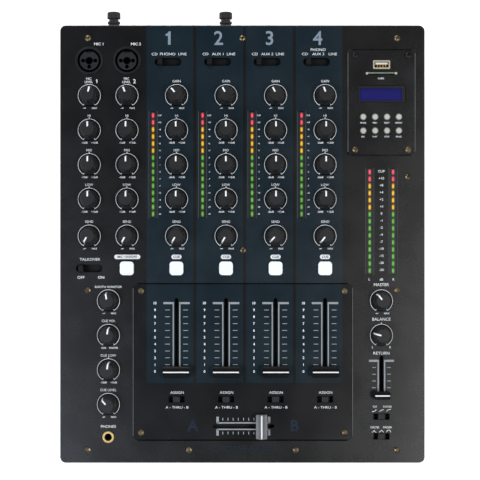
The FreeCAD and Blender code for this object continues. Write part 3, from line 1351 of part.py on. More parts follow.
# Levers, sliders, buttons and keys; the levers stand at the left end of their slots.
lever = make_selector_lever()
levers = [on_panel(f"{name}_lever", [lever], f"{x} - selector_travel / 2", y) for name, x, y in SELECTORS]
nodes.append(gather("source_selectors", levers))
name, x, y = TALKOVER
nodes.append(on_panel("talkover_switch", [lever], f"{x} - selector_travel / 2", y))
slider = make_slide_slider()
nodes.append(gather("slide_switches", [on_panel("slider", [slider], x, y) for x, y in ASSIGNS + CURVES]))
button = make_button()
nodes.append(gather("cue_buttons", [on_panel("button", [button], x, y) for x, y in BUTTONS]))
key = make_player_key()
nodes.append(gather("player_keys", [on_panel("key", [key], x, y) for x, y in PLAYER_KEYS]))

# Meters and display.
meter_bar = make_meter_bar()
lamp = make_lamp()
meter_parts = []
for x, y in METERS:
    meter_parts.append(on_panel("meter", [meter_bar], x, y))
    meter_parts += [on_panel("lamp", [lamp], x, f"{y} + ({step} - 7) * lamp_pitch") for step in range(15)]
nodes.append(gather("level_meters", meter_parts))
nodes.append(on_panel("display", [make_display_frame(), make_display_glass()], "player_x", "display_y"))

# Sockets on the panel.
combo = make_combo_socket()
panel_sockets = [on_panel("mic_socket", [combo], mic_x(mic), "combo_y") for mic in MICS]
panel_sockets.append(on_panel("phones", [make_phones_socket()], "left_column_x", "phones_y"))
panel_sockets.append(on_panel("stick", [make_stick_socket()], "player_x", "stick_y"))
panel_sockets.append(on_panel("card", [make_card_guide()], "player_x", "card_y"))
nodes.append(gather("panel_sockets", panel_sockets))

# Rotary controls, slide controls and switches below the panel.
pot = make_pot()
nut = make_nut()
controls = [on_panel("rotary", [pot, nut], x, y) for name, x, y, turn in KNOBS]
channel_frame = make_fader_frame("channel_frame", "channel_travel")
controls += [on_panel("frame", [channel_frame], channel_x(channel), CHANNEL_FADER_Y)
             for channel in CHANNELS]
cross_frame = make_fader_frame("cross_frame", "cross_travel")
controls.append(on_panel("frame", [cross_frame], "cross_x", "cross_y", 90))
controls.append(on_panel("frame", [make_fader_frame("return_frame", "return_travel")], "right_column_x",
                         RETURN_FADER_Y))
selector_switch = make_selector_switch()
controls += [on_panel("selector", [selector_switch], x, y) for name, x, y in SELECTORS + [TALKOVER]]
slide_switch = make_slide_switch()
controls += [on_panel("slide", [slide_switch], x, y) for x, y in ASSIGNS + CURVES]
button_switch = make_button_switch()
controls += [on_panel("push", [button_switch], x, y) for x, y in BUTTONS]
key_switch = make_key_switch()
controls += [on_panel("tap", [key_switch], x, y) for x, y in PLAYER_KEYS]
nodes.append(gather("control_mechanisms", controls))

# Boards, their pillars and the mains transformer.
REAR_EDGE = "combo_y - combo_barrel / 2 - 4"
SELECTOR_EDGE = "selector_y + selector_width / 2 + 4"
FRONT_EDGE = "cross_y - frame_width / 2 - 2"
boards = [
    make_board("left_board", "mic_first_x - 14", "fader_plate_x - fader_plate_width / 2 + 6",
               "monitor_row_y - 3 * row_pitch - 12", REAR_EDGE),
    make_board("centre_board", "channel_first_x - 26", "channel_first_x + 3 * channel_pitch + 14",
               FRONT_EDGE, SELECTOR_EDGE),
    make_board("right_board", "right_column_x - 22", "right_column_x + 28",
               "curve_first_y - curve_pitch - 6",
               "master_meter_y + meter_window / 2 + 6"),
    make_player_board(),
    make_input_board(),
    make_transformer(),
]
pillar = make_pillar()
boards += [on_panel("board_pillar", [pillar], x, y) for x, y in PILLAR_SCREWS]
nodes.append(gather("circuit_boards", boards))

# Fixings and feet.
screw = make_screw()
screws = [on_panel("panel_screw", [screw], x, y, 30) for x, y in FLANGE_SCREWS + PILLAR_SCREWS]
for x, y in FADER_SCREWS:
    screws.append(copy_of("plate_screw", [screw], x, f"{y} + {PANEL_Y}",
                          f"{PANEL_UNDERSIDE} + fader_plate_sheet"))
for x, y in PLAYER_SCREWS:
    screws.append(copy_of("plate_screw", [screw], x, f"{y} + {PANEL_Y}", f"{PANEL_TOP} + player_sheet"))
for x, z in OUTPUT_SCREWS:
    screws.append(copy_of("output_screw", [screw], x, f"{REAR_WALL_Y} + output_flange", z,
                          Rotation(Vector(1, 0, 0), -90)))
upside_down = Rotation(Vector(1, 0, 0), 180)
for x, y in FEET:
    screws.append(copy_of("foot_screw", [screw], x, f"{y} + {PANEL_Y}", "foot_height / 2", upside_down))
nodes.append(gather("screws", screws))
foot = make_foot()
nodes.append(gather("rubber_feet", [copy_of("stood_foot", [foot], x, f"{y} + {PANEL_Y}") for x, y in FEET]))

# Rear sockets and the power switch.
housing = make_phono_block()
barrel = make_phono_barrel()
output = make_balanced_output()
post = make_ground_post()
rear = []
for x in PHONO_BLOCKS:
    rear.append(on_rear("phono_block", [housing], x, "phono_z"))
    rear += [on_rear("phono", [barrel], f"{x} + {side} * phono_step / 2",
                     f"phono_z + {end} * phono_step / 2")
             for side, end in PHONO_CORNERS]
rear += [on_rear("output", [output], x, "phono_z") for x in OUTPUTS]
rear += [on_rear("post", [post], x, f"{PANEL_UNDERSIDE} - post_drop") for x in POSTS]
rear.append(on_rear("inlet", [make_inlet()], "mains_x", "inlet_z"))
rear.append(on_rear("switch_bezel", [make_rocker_bezel()], "mains_x", "rocker_z"))
nodes.append(gather("rear_sockets", rear))
tilted = Rotation(Vector(1, 0, 0), -90 + value("rocker_tilt"))
nodes.append(copy_of("power_rocker", [make_rocker()], "mains_x", f"{REAR_WALL_Y} - rocker_pivot", "rocker_z",
                     tilted))

doc.recompute()
for thing in doc.Objects:
    if "Invalid" in thing.State or "Error" in thing.State:
        raise RuntimeError(f"{thing.Label} did not rebuild")

os.makedirs("parts", exist_ok=True)
for node in nodes:
    if node.Shape.isNull() or not node.Shape.isValid():
        raise RuntimeError(f"{node.Label} has no sound shape")
    node.Shape.exportStep(f"parts/{node.Label}.step")
    print(f"{node.Label}: {len(node.Shape.Solids)} solids, {node.Shape.Volume:.0f} mm3")
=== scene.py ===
import json
import logging
import math
from dataclasses import dataclass, field
from enum import Enum
from typing import Any

import bpy
import numpy as np
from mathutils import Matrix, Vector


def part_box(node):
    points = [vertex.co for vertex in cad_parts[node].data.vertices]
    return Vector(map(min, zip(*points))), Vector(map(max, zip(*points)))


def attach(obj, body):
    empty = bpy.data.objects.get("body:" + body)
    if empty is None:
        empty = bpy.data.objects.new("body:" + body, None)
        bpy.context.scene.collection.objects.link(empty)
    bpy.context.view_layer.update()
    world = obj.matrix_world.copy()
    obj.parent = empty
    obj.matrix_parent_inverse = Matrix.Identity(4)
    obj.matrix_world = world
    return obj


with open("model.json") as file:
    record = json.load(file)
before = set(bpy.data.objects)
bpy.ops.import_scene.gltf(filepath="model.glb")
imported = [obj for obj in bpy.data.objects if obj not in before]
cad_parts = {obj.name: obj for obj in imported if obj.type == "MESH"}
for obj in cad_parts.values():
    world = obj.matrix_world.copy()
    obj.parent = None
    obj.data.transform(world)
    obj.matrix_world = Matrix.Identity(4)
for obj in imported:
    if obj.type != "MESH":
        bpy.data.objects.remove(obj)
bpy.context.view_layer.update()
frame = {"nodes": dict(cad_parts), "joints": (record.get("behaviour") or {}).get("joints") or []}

MM = 0.001
DESK = "desk"
CHANNEL_X = (-57.8, -14.35, 29.1, 72.55)
Array = np.ndarray
Colour = tuple[float, float, float, float]
Faces = list[tuple[int, ...]]
Layers = tuple[Any, Any, Any]
log = logging.getLogger("mixing_desk")


def middle_of(node: str) -> tuple[float, float]:
    """Middle of a CAD node in plan.

    Args:
        node: name of the node.

    Returns:
        Its x and y in millimetres, in the frame's own axes.
    """
    low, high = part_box(node)
    return (low.x + high.x) / 2 / MM, (low.y + high.y) / 2 / MM


PANEL_Y = middle_of("top_panel")[1]


class Face(Enum):
    """A flat face of the desk that carries printing, by the CAD node it belongs to."""

    PANEL = "top_panel"
    FADER_PLATE = "fader_panel"
    PLAYER_PLATE = "player_panel"
    REAR = "base_case"

    def place(self, points: Array) -> Array:
        """Puts points drawn on the face into the frame.

        A panel face takes (u, v, w) to (u, v + panel middle, face height + w). The rear wall is read from
        behind, so it takes (u, v, w) to (-u, wall + w, v). Both are turns, so no shape is mirrored.

        Args:
            points: n by 3 array in millimetres, w being the height above the face.

        Returns:
            The same points in metres.
        """
        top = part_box(self.value)[1]
        u, v, w = points.T
        if self is Face.REAR:
            placed = (-u, top.y / MM + w, v)
        else:
            placed = (u, v + PANEL_Y, top.z / MM + w)
        return np.stack(placed, axis=1) * MM


def linear(code: str) -> Colour:
    """Turns an sRGB hex colour into linear light.

    Args:
        code: colour such as "#1c1c1e".

    Returns:
        Red, green, blue and an alpha of one.
    """
    shade = np.array([int(code[start:start + 2], 16) for start in (1, 3, 5)]) / 255
    light = np.where(shade <= 0.04045, shade / 12.92, ((shade + 0.055) / 1.055) ** 2.4)
    return (*(float(part) for part in light), 1.0)


def add_node(tree: bpy.types.NodeTree, kind: str, settings: dict[str, Any] | None = None,
             inputs: dict[str | int, Any] | None = None) -> bpy.types.Node:
    """Adds a node with its settings, values and links.

    Args:
        tree: node tree that gets the node.
        kind: node type.
        settings: properties of the node.
        inputs: for each input, a value or the socket that feeds it.

    Returns:
        The new node.
    """
    node = tree.nodes.new(kind)
    for name, value in (settings or {}).items():
        setattr(node, name, value)
    for name, value in (inputs or {}).items():
        if isinstance(value, bpy.types.NodeSocket):
            tree.links.new(value, node.inputs[name])
        else:
            node.inputs[name].default_value = value
    return node


@dataclass(frozen=True)
class Patch:
    """A box-shaped region of a piece that has another finish, in millimetres of the frame.

    Attributes:
        centre: middle of the region.
        half: half its size along each axis; zero leaves that axis open.
        colour: sRGB hex colour inside it.
        metallic: metallic value inside it.
        roughness: roughness inside it.
        pitch: spacing along each axis at which the region repeats, zero for none.
    """

    centre: tuple[float, float, float]
    half: tuple[float, float, float]
    colour: str
    metallic: float = 0.0
    roughness: float = 0.4
    pitch: tuple[float, float, float] = (0.0, 0.0, 0.0)

    def mask(self, tree: bpy.types.NodeTree, axes: list[bpy.types.NodeSocket]) -> bpy.types.NodeSocket:
        """One inside the region and nought outside it: the product of one comparison per bounded axis.

        Args:
            tree: node tree of the material.
            axes: the three Object coordinates.

        Returns:
            The socket that gives the mask.
        """
        found = None
        for axis, centre, half, pitch in zip(axes, self.centre, self.half, self.pitch):
            if not half:
                continue
            if pitch:
                shifted = add_node(tree, "ShaderNodeMath", {"operation": "SUBTRACT"},
                                   {0: axis, 1: centre * MM}).outputs[0]
                axis = add_node(tree, "ShaderNodeMath", {"operation": "WRAP"},
                                {0: shifted, 1: pitch / 2 * MM, 2: -pitch / 2 * MM}).outputs[0]
                centre = 0.0
            inside = add_node(tree, "ShaderNodeMath", {"operation": "COMPARE"},
                              {0: axis, 1: centre * MM, 2: half * MM}).outputs[0]
            found = inside if found is None else add_node(
                tree, "ShaderNodeMath", {"operation": "MULTIPLY"}, {0: found, 1: inside}).outputs[0]
        return found


@dataclass(frozen=True)
class Finish:
    """A real material and how its surface was made.

    Attributes:
        name: common name and making, used for the Blender material.
        colour: sRGB hex colour.
        roughness: mean roughness.
        metallic: how far the surface is bare metal, from nought to one.
        grain: size in millimetres of the texture that the surface shows.
        depth: height in millimetres of that texture.
        mottle: share by which the colour varies from place to place.
        glow: light that the piece gives off, in units of its own colour.
        specular: shine of a plain surface, half being that of the default index.
        cloud: size of the marks of handling and ageing, in grains.
        patches: regions with another finish.
    """

    name: str
    colour: str
    roughness: float = 0.45
    metallic: float = 0.0
    grain: float = 0.9
    depth: float = 0.01
    mottle: float = 0.12
    glow: float = 0.0
    specular: float = 0.5
    cloud: float = 25.0
    patches: tuple[Patch, ...] = ()

    def make(self) -> bpy.types.Material:
        """Builds the material once.

        Colour and roughness are those of the layers times a share that wanders about one, and the bump
        follows the fine texture.

        Returns:
            The new material, or the one already built under this name.
        """
        known = bpy.data.materials.get(self.name)
        if known:
            return known
        material = bpy.data.materials.new(self.name)
        material.use_nodes = True
        tree = material.node_tree
        tree.nodes.clear()
        place = add_node(tree, "ShaderNodeTexCoord").outputs["Object"]
        axes = list(add_node(tree, "ShaderNodeSeparateXYZ", inputs={0: place}).outputs)
        # Orange peel is about a millimetre wide, which is its size here. Moulded grain and the mesh of a
        # print are 0.05 to 0.2 mm wide and wouldn't show, so they are drawn at half a millimetre or more.
        fine = add_node(tree, "ShaderNodeTexNoise", inputs={
            "Vector": place, "Scale": 1 / (self.grain * MM), "Detail": 3.0}).outputs[0]
        cloud = add_node(tree, "ShaderNodeTexNoise", inputs={
            "Vector": place, "Scale": 1 / (self.cloud * self.grain * MM), "Detail": 2.0}).outputs[0]
        both = add_node(tree, "ShaderNodeMath", {"operation": "MULTIPLY_ADD"},
                        {0: fine, 1: 0.5, 2: cloud}).outputs[0]
        share = add_node(tree, "ShaderNodeMapRange", inputs={
            0: both, 1: 0.5, 2: 1.0, 3: 1 - self.mottle, 4: 1 + self.mottle}).outputs[0]
        flat, metal, rough = self.layers(tree, axes)
        colour = add_node(tree, "ShaderNodeVectorMath", {"operation": "SCALE"},
                          {0: flat, "Scale": share}).outputs[0]
        rough = add_node(tree, "ShaderNodeMath", {"operation": "MULTIPLY"}, {0: share, 1: rough}).outputs[0]
        bump = add_node(tree, "ShaderNodeBump", inputs={
            "Strength": 0.6, "Distance": self.depth * MM, "Height": fine}).outputs[0]
        shader = add_node(tree, "ShaderNodeBsdfPrincipled", inputs={
            "Base Color": colour, "Metallic": metal, "Roughness": rough, "Normal": bump,
            "Specular IOR Level": self.specular})
        if self.glow:
            tree.links.new(colour, shader.inputs["Emission Color"])
            shader.inputs["Emission Strength"].default_value = self.glow
        add_node(tree, "ShaderNodeOutputMaterial", inputs={"Surface": shader.outputs[0]})
        return material

    def layers(self, tree: bpy.types.NodeTree, axes: list[bpy.types.NodeSocket]) -> Layers:
        """The plain finish with its patches laid over it, before the texture.

        A value that a patch doesn't change stays a plain value, for the shader's own socket.

        Args:
            tree: node tree of the material.
            axes: the three Object coordinates.

        Returns:
            A value or a socket for colour, metallic and roughness.
        """
        if not self.patches:
            return linear(self.colour)[:3], self.metallic, self.roughness
        colour: Any = linear(self.colour)
        metal: Any = self.metallic
        rough: Any = self.roughness
        for patch in self.patches:
            mask = patch.mask(tree, axes)
            colour = add_node(tree, "ShaderNodeMix", {"data_type": "RGBA"},
                              {0: mask, 6: colour, 7: linear(patch.colour)}).outputs[2]
            if metal != patch.metallic:
                metal = add_node(tree, "ShaderNodeMix", {"data_type": "FLOAT"},
                                 {0: mask, 2: metal, 3: patch.metallic}).outputs[0]
            if rough != patch.roughness:
                rough = add_node(tree, "ShaderNodeMix", {"data_type": "FLOAT"},
                                 {0: mask, 2: rough, 3: patch.roughness}).outputs[0]
        return colour, metal, rough


@dataclass(frozen=True)
class StripedPaint(Finish):
    """Satin paint with four channel strips printed in a second colour, parted by bare dividers.

    Attributes:
        strip: sRGB hex colour of the strips.
        span: left and right edge of the strips on the panel, in millimetres.
        front: front edge of the strips from the panel middle.
        length: length of the strips, which end past the rear edge.
        divider: first divider, spacing and half width.
    """

    strip: str = "#0a1c25"
    span: tuple[float, float] = (-84.3, 87.8)
    front: float = -121.9
    length: float = 400.0
    divider: tuple[float, float, float] = (-41.8, 43.7, 1.35)

    def layers(self, tree: bpy.types.NodeTree, axes: list[bpy.types.NodeSocket]) -> Layers:
        """Strip colour inside the span and behind the front edge, but not on a divider.

        Args:
            tree: node tree of the material.
            axes: the three Object coordinates.

        Returns:
            A value or a socket for colour, metallic and roughness.
        """
        left, right = self.span
        across = Patch(((left + right) / 2, self.front + PANEL_Y + self.length / 2, 0),
                       ((right - left) / 2, self.length / 2, 0), self.strip)
        first, pitch, half = self.divider
        gap = Patch((first, 0, 0), (half, 0, 0), self.colour, pitch=(pitch, 0, 0))
        inside = across.mask(tree, axes)
        between = gap.mask(tree, axes)
        mask = add_node(tree, "ShaderNodeMath", {"operation": "SUBTRACT", "use_clamp": True},
                        {0: inside, 1: between}).outputs[0]
        colour = add_node(tree, "ShaderNodeMix", {"data_type": "RGBA"},
                          {0: mask, 6: linear(self.colour), 7: linear(self.strip)}).outputs[2]
        return colour, self.metallic, self.roughness


@dataclass(frozen=True)
class ShoulderedKeys(Finish):
    """Small round keys in rows, pale on top, with painted shade darkening them round the shoulder.

    Attributes:
        first: middle of one key in millimetres of the frame.
        pitch: spacing of the keys along x and y.
        radius: key radius.
        flat: share of the radius that is left without painted shade.
        dim: share of the colour that is left at the rim, where the painted shade is deepest.
    """

    first: tuple[float, float] = (0.0, 0.0)
    pitch: tuple[float, float] = (10.0, 10.0)
    radius: float = 3.0
    flat: float = 0.55
    dim: float = 0.3

    def layers(self, tree: bpy.types.NodeTree, axes: list[bpy.types.NodeSocket]) -> Layers:
        """Colour scaled by the distance from the middle of the nearest key, as painted shade towards the
        rim.

        Args:
            tree: node tree of the material.
            axes: the three Object coordinates.

        Returns:
            A value or a socket for colour, metallic and roughness.
        """
        near = []
        for axis, first, pitch in zip(axes, self.first, self.pitch):
            offset = add_node(tree, "ShaderNodeMath", {"operation": "SUBTRACT"},
                              {0: axis, 1: first * MM}).outputs[0]
            near.append(add_node(tree, "ShaderNodeMath", {"operation": "WRAP"},
                                 {0: offset, 1: pitch / 2 * MM, 2: -pitch / 2 * MM}).outputs[0])
        offsets = add_node(tree, "ShaderNodeCombineXYZ", inputs={0: near[0], 1: near[1]}).outputs[0]
        away = add_node(tree, "ShaderNodeVectorMath", {"operation": "LENGTH"}, {0: offsets}).outputs["Value"]
        share = add_node(tree, "ShaderNodeMapRange", {"interpolation_type": "SMOOTHSTEP"}, {
            0: away, 1: self.flat * self.radius * MM, 2: self.radius * MM, 3: 1.0, 4: self.dim}).outputs[0]
        colour = add_node(tree, "ShaderNodeVectorMath", {"operation": "SCALE"},
                          {0: linear(self.colour)[:3], "Scale": share}).outputs[0]
        return colour, self.metallic, self.roughness


# Enamel baked on sheet metal: near black and even, with a faint orange-peel that softens reflections.
PANEL_PAINT = StripedPaint("baked_satin_enamel", "#0b0b0c", 0.27, grain=1.1, depth=0.004, mottle=0.1)
# The fader plate's enamel is glossier, so it mirrors the dark overhead and looks deeper than the panel.
FADER_PAINT = StripedPaint("baked_semi_gloss_enamel", "#0b0b0d", 0.235, grain=1.1, depth=0.002, mottle=0.1)
# The player plate's enamel, without strips: the same sheen, a little more uneven.
PLATE_PAINT = Finish("baked_plain_enamel", "#0c0c0e", 0.27, grain=1.0, depth=0.004)
# Powder coat on folded steel: a rougher, duller skin than the panel's enamel.
CASE_COAT = Finish("powder_coated_steel", "#121213", 0.55, grain=0.8, depth=0.02, mottle=0.06)
# Moulded black ABS with a spark-eroded satin: soft wide highlights, faint handling marks.
BLACK_ABS = Finish("moulded_black_abs", "#131314", 0.45, grain=0.7, depth=0.006, mottle=0.16,
                   specular=0.33)
# The same plastic from a polished mould, for the fader caps: darker, with a tighter highlight.
POLISHED_ABS = Finish("polished_black_abs", "#0a0a0b", 0.32, grain=0.7, depth=0.003, mottle=0.16,
                      specular=0.14)
# Glass-filled nylon of the switch levers and the rocker: dull, because the fibres break its skin.
BLACK_NYLON = Finish("moulded_black_nylon", "#0b0b0c", 0.45, grain=0.6, depth=0.01, mottle=0.16,
                     specular=0.2)
# Grey nylon of the small slide levers: a shade lighter than their slots.
GREY_NYLON = Finish("moulded_grey_nylon", "#222325", 0.5, grain=0.6, depth=0.01, mottle=0.12,
                    specular=0.3)
# Metallic grey sprayed on a moulded cap: pale and silky, with fine flakes.
GREY_CAP = Finish("sprayed_grey_abs", "#77797b", 0.4, 0.25, grain=0.6, depth=0.003, mottle=0.1)
# Frosted white acrylic lit from below: bright and even, with a cool tint.
LIT_ACRYLIC = Finish("frosted_white_acrylic", "#e6eef2", 0.35, grain=1.2, depth=0.002, mottle=0.03,
                     glow=0.15)
# Pale grey moulded keys: slightly warm, with painted shade round the shoulder.
PALE_KEY = ShoulderedKeys("moulded_pale_abs", "#b6b8ad", 0.4, grain=0.7, depth=0.005, mottle=0.06,
                          first=(105.9, 111.4 + PANEL_Y), pitch=(10.4, 12.1), radius=2.9)
# Black phenolic frames of the controls, made almost black as painted shade, so the slots above them read as
# dark recesses.
PHENOLIC = Finish("moulded_black_phenolic", "#060607", 0.55, grain=0.7, depth=0.01, mottle=0.15,
                  specular=0.2)
# Green solder mask over woven glass epoxy, darkened almost to black as painted shade, leaving a trace of
# green; it shows only through the slots.
BOARD = Finish("solder_masked_glass_epoxy", "#0a100c", 0.5, grain=0.9, depth=0.01, mottle=0.15,
               specular=0.3)
# Moulded rubber: dull and dusty.
RUBBER = Finish("moulded_rubber", "#1a1a1a", 0.8, grain=0.9, depth=0.03, mottle=0.2)
# Screen-printed epoxy inks: opaque and matt, a touch uneven where the mesh left them thin.
WHITE_INK = Finish("screen_printed_white_ink", "#e4e7e9", 0.6, grain=0.6, depth=0.002, mottle=0.06)
GREY_INK = Finish("screen_printed_blue_grey_ink", "#788997", 0.6, grain=0.6, depth=0.002, mottle=0.06)
BLACK_INK = Finish("screen_printed_black_ink", "#1a1c1e", 0.6, grain=0.6, depth=0.002, mottle=0.06)
# Painted highlight: a thin grey line where the long edges of the meter windows would catch the light.
WINDOW_EDGE_HIGHLIGHT = Finish("painted_window_edge_highlight", "#3a3f45", 0.6, grain=0.6, depth=0.002, mottle=0.06)
# Silver-grey ink of the scales: darker than the white, with a little more sheen.
SCALE_INK = Finish("screen_printed_silver_ink", "#8f9498", 0.5, grain=0.6, depth=0.002, mottle=0.1)
# Thin glossy ink for the large letters: as shiny as the enamel, so it shows only as a tint.
NAVY_INK = Finish("screen_printed_navy_ink", "#132231", 0.24, grain=0.6, depth=0.002, mottle=0.06)
# Painted shadow round the foot of each knob: a matt black film with almost no shine, darkening the panel
# where the knob's shadow falls.
KNOB_SHADOW_INK = Finish("painted_knob_shadow", "#020203", 0.75, grain=0.6, depth=0.002, mottle=0.1,
                  specular=0.1)
# Painted highlight: a fine grey line along the sides of the plate openings, where their pressed edges would
# catch the light.
EDGE_HIGHLIGHT = Finish("painted_edge_highlight", "#4b4e51", 0.4, grain=0.7, depth=0.004, mottle=0.2)
# Painted shade: a black line in the joints across the plate openings, where no light comes back.
JOINT_SHADE = Finish("painted_joint_shade", "#030304", 0.6, grain=0.7, depth=0.004, mottle=0.2,
                     specular=0.06)
# Paint wiped into a moulded groove: white, slightly glossy, almost flush with the plastic.
GROOVE_PAINT = Finish("wiped_in_white_paint", "#eceeef", 0.4, grain=0.5, depth=0.004, mottle=0.05)
# Gold flashed on brass springs: warm and bright, slightly worn.
GOLD = Finish("gold_flashed_brass", "#cfa75e", 0.35, 0.6, grain=0.5, depth=0.003, mottle=0.12)
# Tin plated on spring steel: a soft, yellowish grey.
TIN = Finish("tinned_spring_steel", "#b9b19e", 0.4, 0.3, grain=0.5, depth=0.003, mottle=0.15)
# Sawn glass epoxy at the edge of a contact strip: pale green and uneven.
EPOXY = Finish("sawn_glass_epoxy", "#71836f", 0.45, grain=0.5, depth=0.003, mottle=0.25)
# Nylon insulators of the sockets: clean, even colours with a mild gloss.
RED_INSERT = Finish("moulded_red_nylon", "#a81f22", 0.4, grain=0.6, depth=0.006, mottle=0.08)
WHITE_INSERT = Finish("moulded_white_nylon", "#d2d0c8", 0.4, grain=0.6, depth=0.006, mottle=0.06)


def put_mesh(name: str, points: Array, faces: Faces, finish: Finish, body: str,
             smooth: bool = False) -> bpy.types.Object:
    """Makes a finished piece from arrays and lets it ride on a body.

    Args:
        name: piece name.
        points: n by 3 array in metres, in the frame.
        faces: corner numbers of each face.
        finish: its material.
        body: CAD body that carries it.
        smooth: whether its faces are shaded as one surface.

    Returns:
        The new object, at the origin.
    """
    mesh = bpy.data.meshes.new(name)
    mesh.from_pydata(points.tolist(), [], faces)
    mesh.polygons.foreach_set("use_smooth", np.full(len(mesh.polygons), smooth))
    mesh.materials.append(finish.make())
    mesh.update()
    piece = bpy.data.objects.new(name, mesh)
    bpy.context.scene.collection.objects.link(piece)
    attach(piece, body)
    log.info("%s: %d faces on %s", name, len(faces), body)
    return piece


def dress(node: str, finish: Finish) -> None:
    """Gives a CAD node its finish.

    Args:
        node: name of the node.
        finish: its material.
    """
    piece = frame["nodes"][node]
    if not piece.material_slots:
        piece.data.materials.append(None)
    for slot in piece.material_slots:
        slot.link = "OBJECT"
        slot.material = finish.make()
    log.info("%s: %s", node, finish.name)


def tube_faces(stations: int, corners: int, capped: bool = True) -> Faces:
    """Faces of a profile of corners carried through stations, closed round the profile.

    Args:
        stations: number of places along the path.
        corners: points in the profile.
        capped: whether both ends are closed.

    Returns:
        Quads between neighbouring stations, and one face for each end.
    """
    row = np.arange(stations - 1)[:, None] * corners
    here = np.arange(corners)[None, :]
    there = (here + 1) % corners
    quads = np.stack([row + here, row + there, row + corners + there, row + corners + here], axis=-1)
    faces = [tuple(quad) for quad in quads.reshape(-1, 4).tolist()]
    if capped:
        last = (stations - 1) * corners
        faces.append(tuple(range(corners - 1, -1, -1)))
        faces.append(tuple(range(last, last + corners)))
    return faces


class Lettering:
    """Plain sans lettering as arrays, each word made once."""

    def __init__(self) -> None:
        """Measures the height of a capital."""
        self.words: dict[tuple[str, float], tuple[Array, Faces]] = {}
        points, _ = self.outline("H", 0.0)
        self.capital = float(np.ptp(points[:, 1]))

    @staticmethod
    def outline(word: str, weight: float) -> tuple[Array, Faces]:
        """Turns a word into a mesh, one unit thick.

        Args:
            word: letters or numbers.
            weight: how far the strokes are thickened.

        Returns:
            Its points and faces.
        """
        curve = bpy.data.curves.new("word", "FONT")
        curve.body = word
        curve.align_x = "CENTER"
        curve.extrude = 0.5
        curve.offset = weight
        curve.resolution_u = 3
        holder = bpy.data.objects.new("word", curve)
        mesh = bpy.data.meshes.new_from_object(holder)
        points = np.empty(len(mesh.vertices) * 3)
        mesh.vertices.foreach_get("co", points)
        faces = [tuple(face.vertices) for face in mesh.polygons]
        bpy.data.objects.remove(holder)
        bpy.data.curves.remove(curve)
        bpy.data.meshes.remove(mesh)
        return points.reshape(-1, 3), faces

    def word(self, text: str, weight: float) -> tuple[Array, Faces]:
        """A word with capitals one unit high, centred on the origin.

        Args:
            text: letters or numbers.
            weight: how far the strokes are thickened.

        Returns:
            Its points and faces, with heights of nought and one.
        """
        key = (text, weight)
        if key not in self.words:
            points, faces = self.outline(text, weight)
            points = points / self.capital
            points[:, 0] -= (points[:, 0].min() + points[:, 0].max()) / 2
            points[:, 1] -= 0.5
            points[:, 2] = np.sign(points[:, 2]) / 2 + 0.5
            self.words[key] = (points, faces)
        return self.words[key]


LETTERS = Lettering()


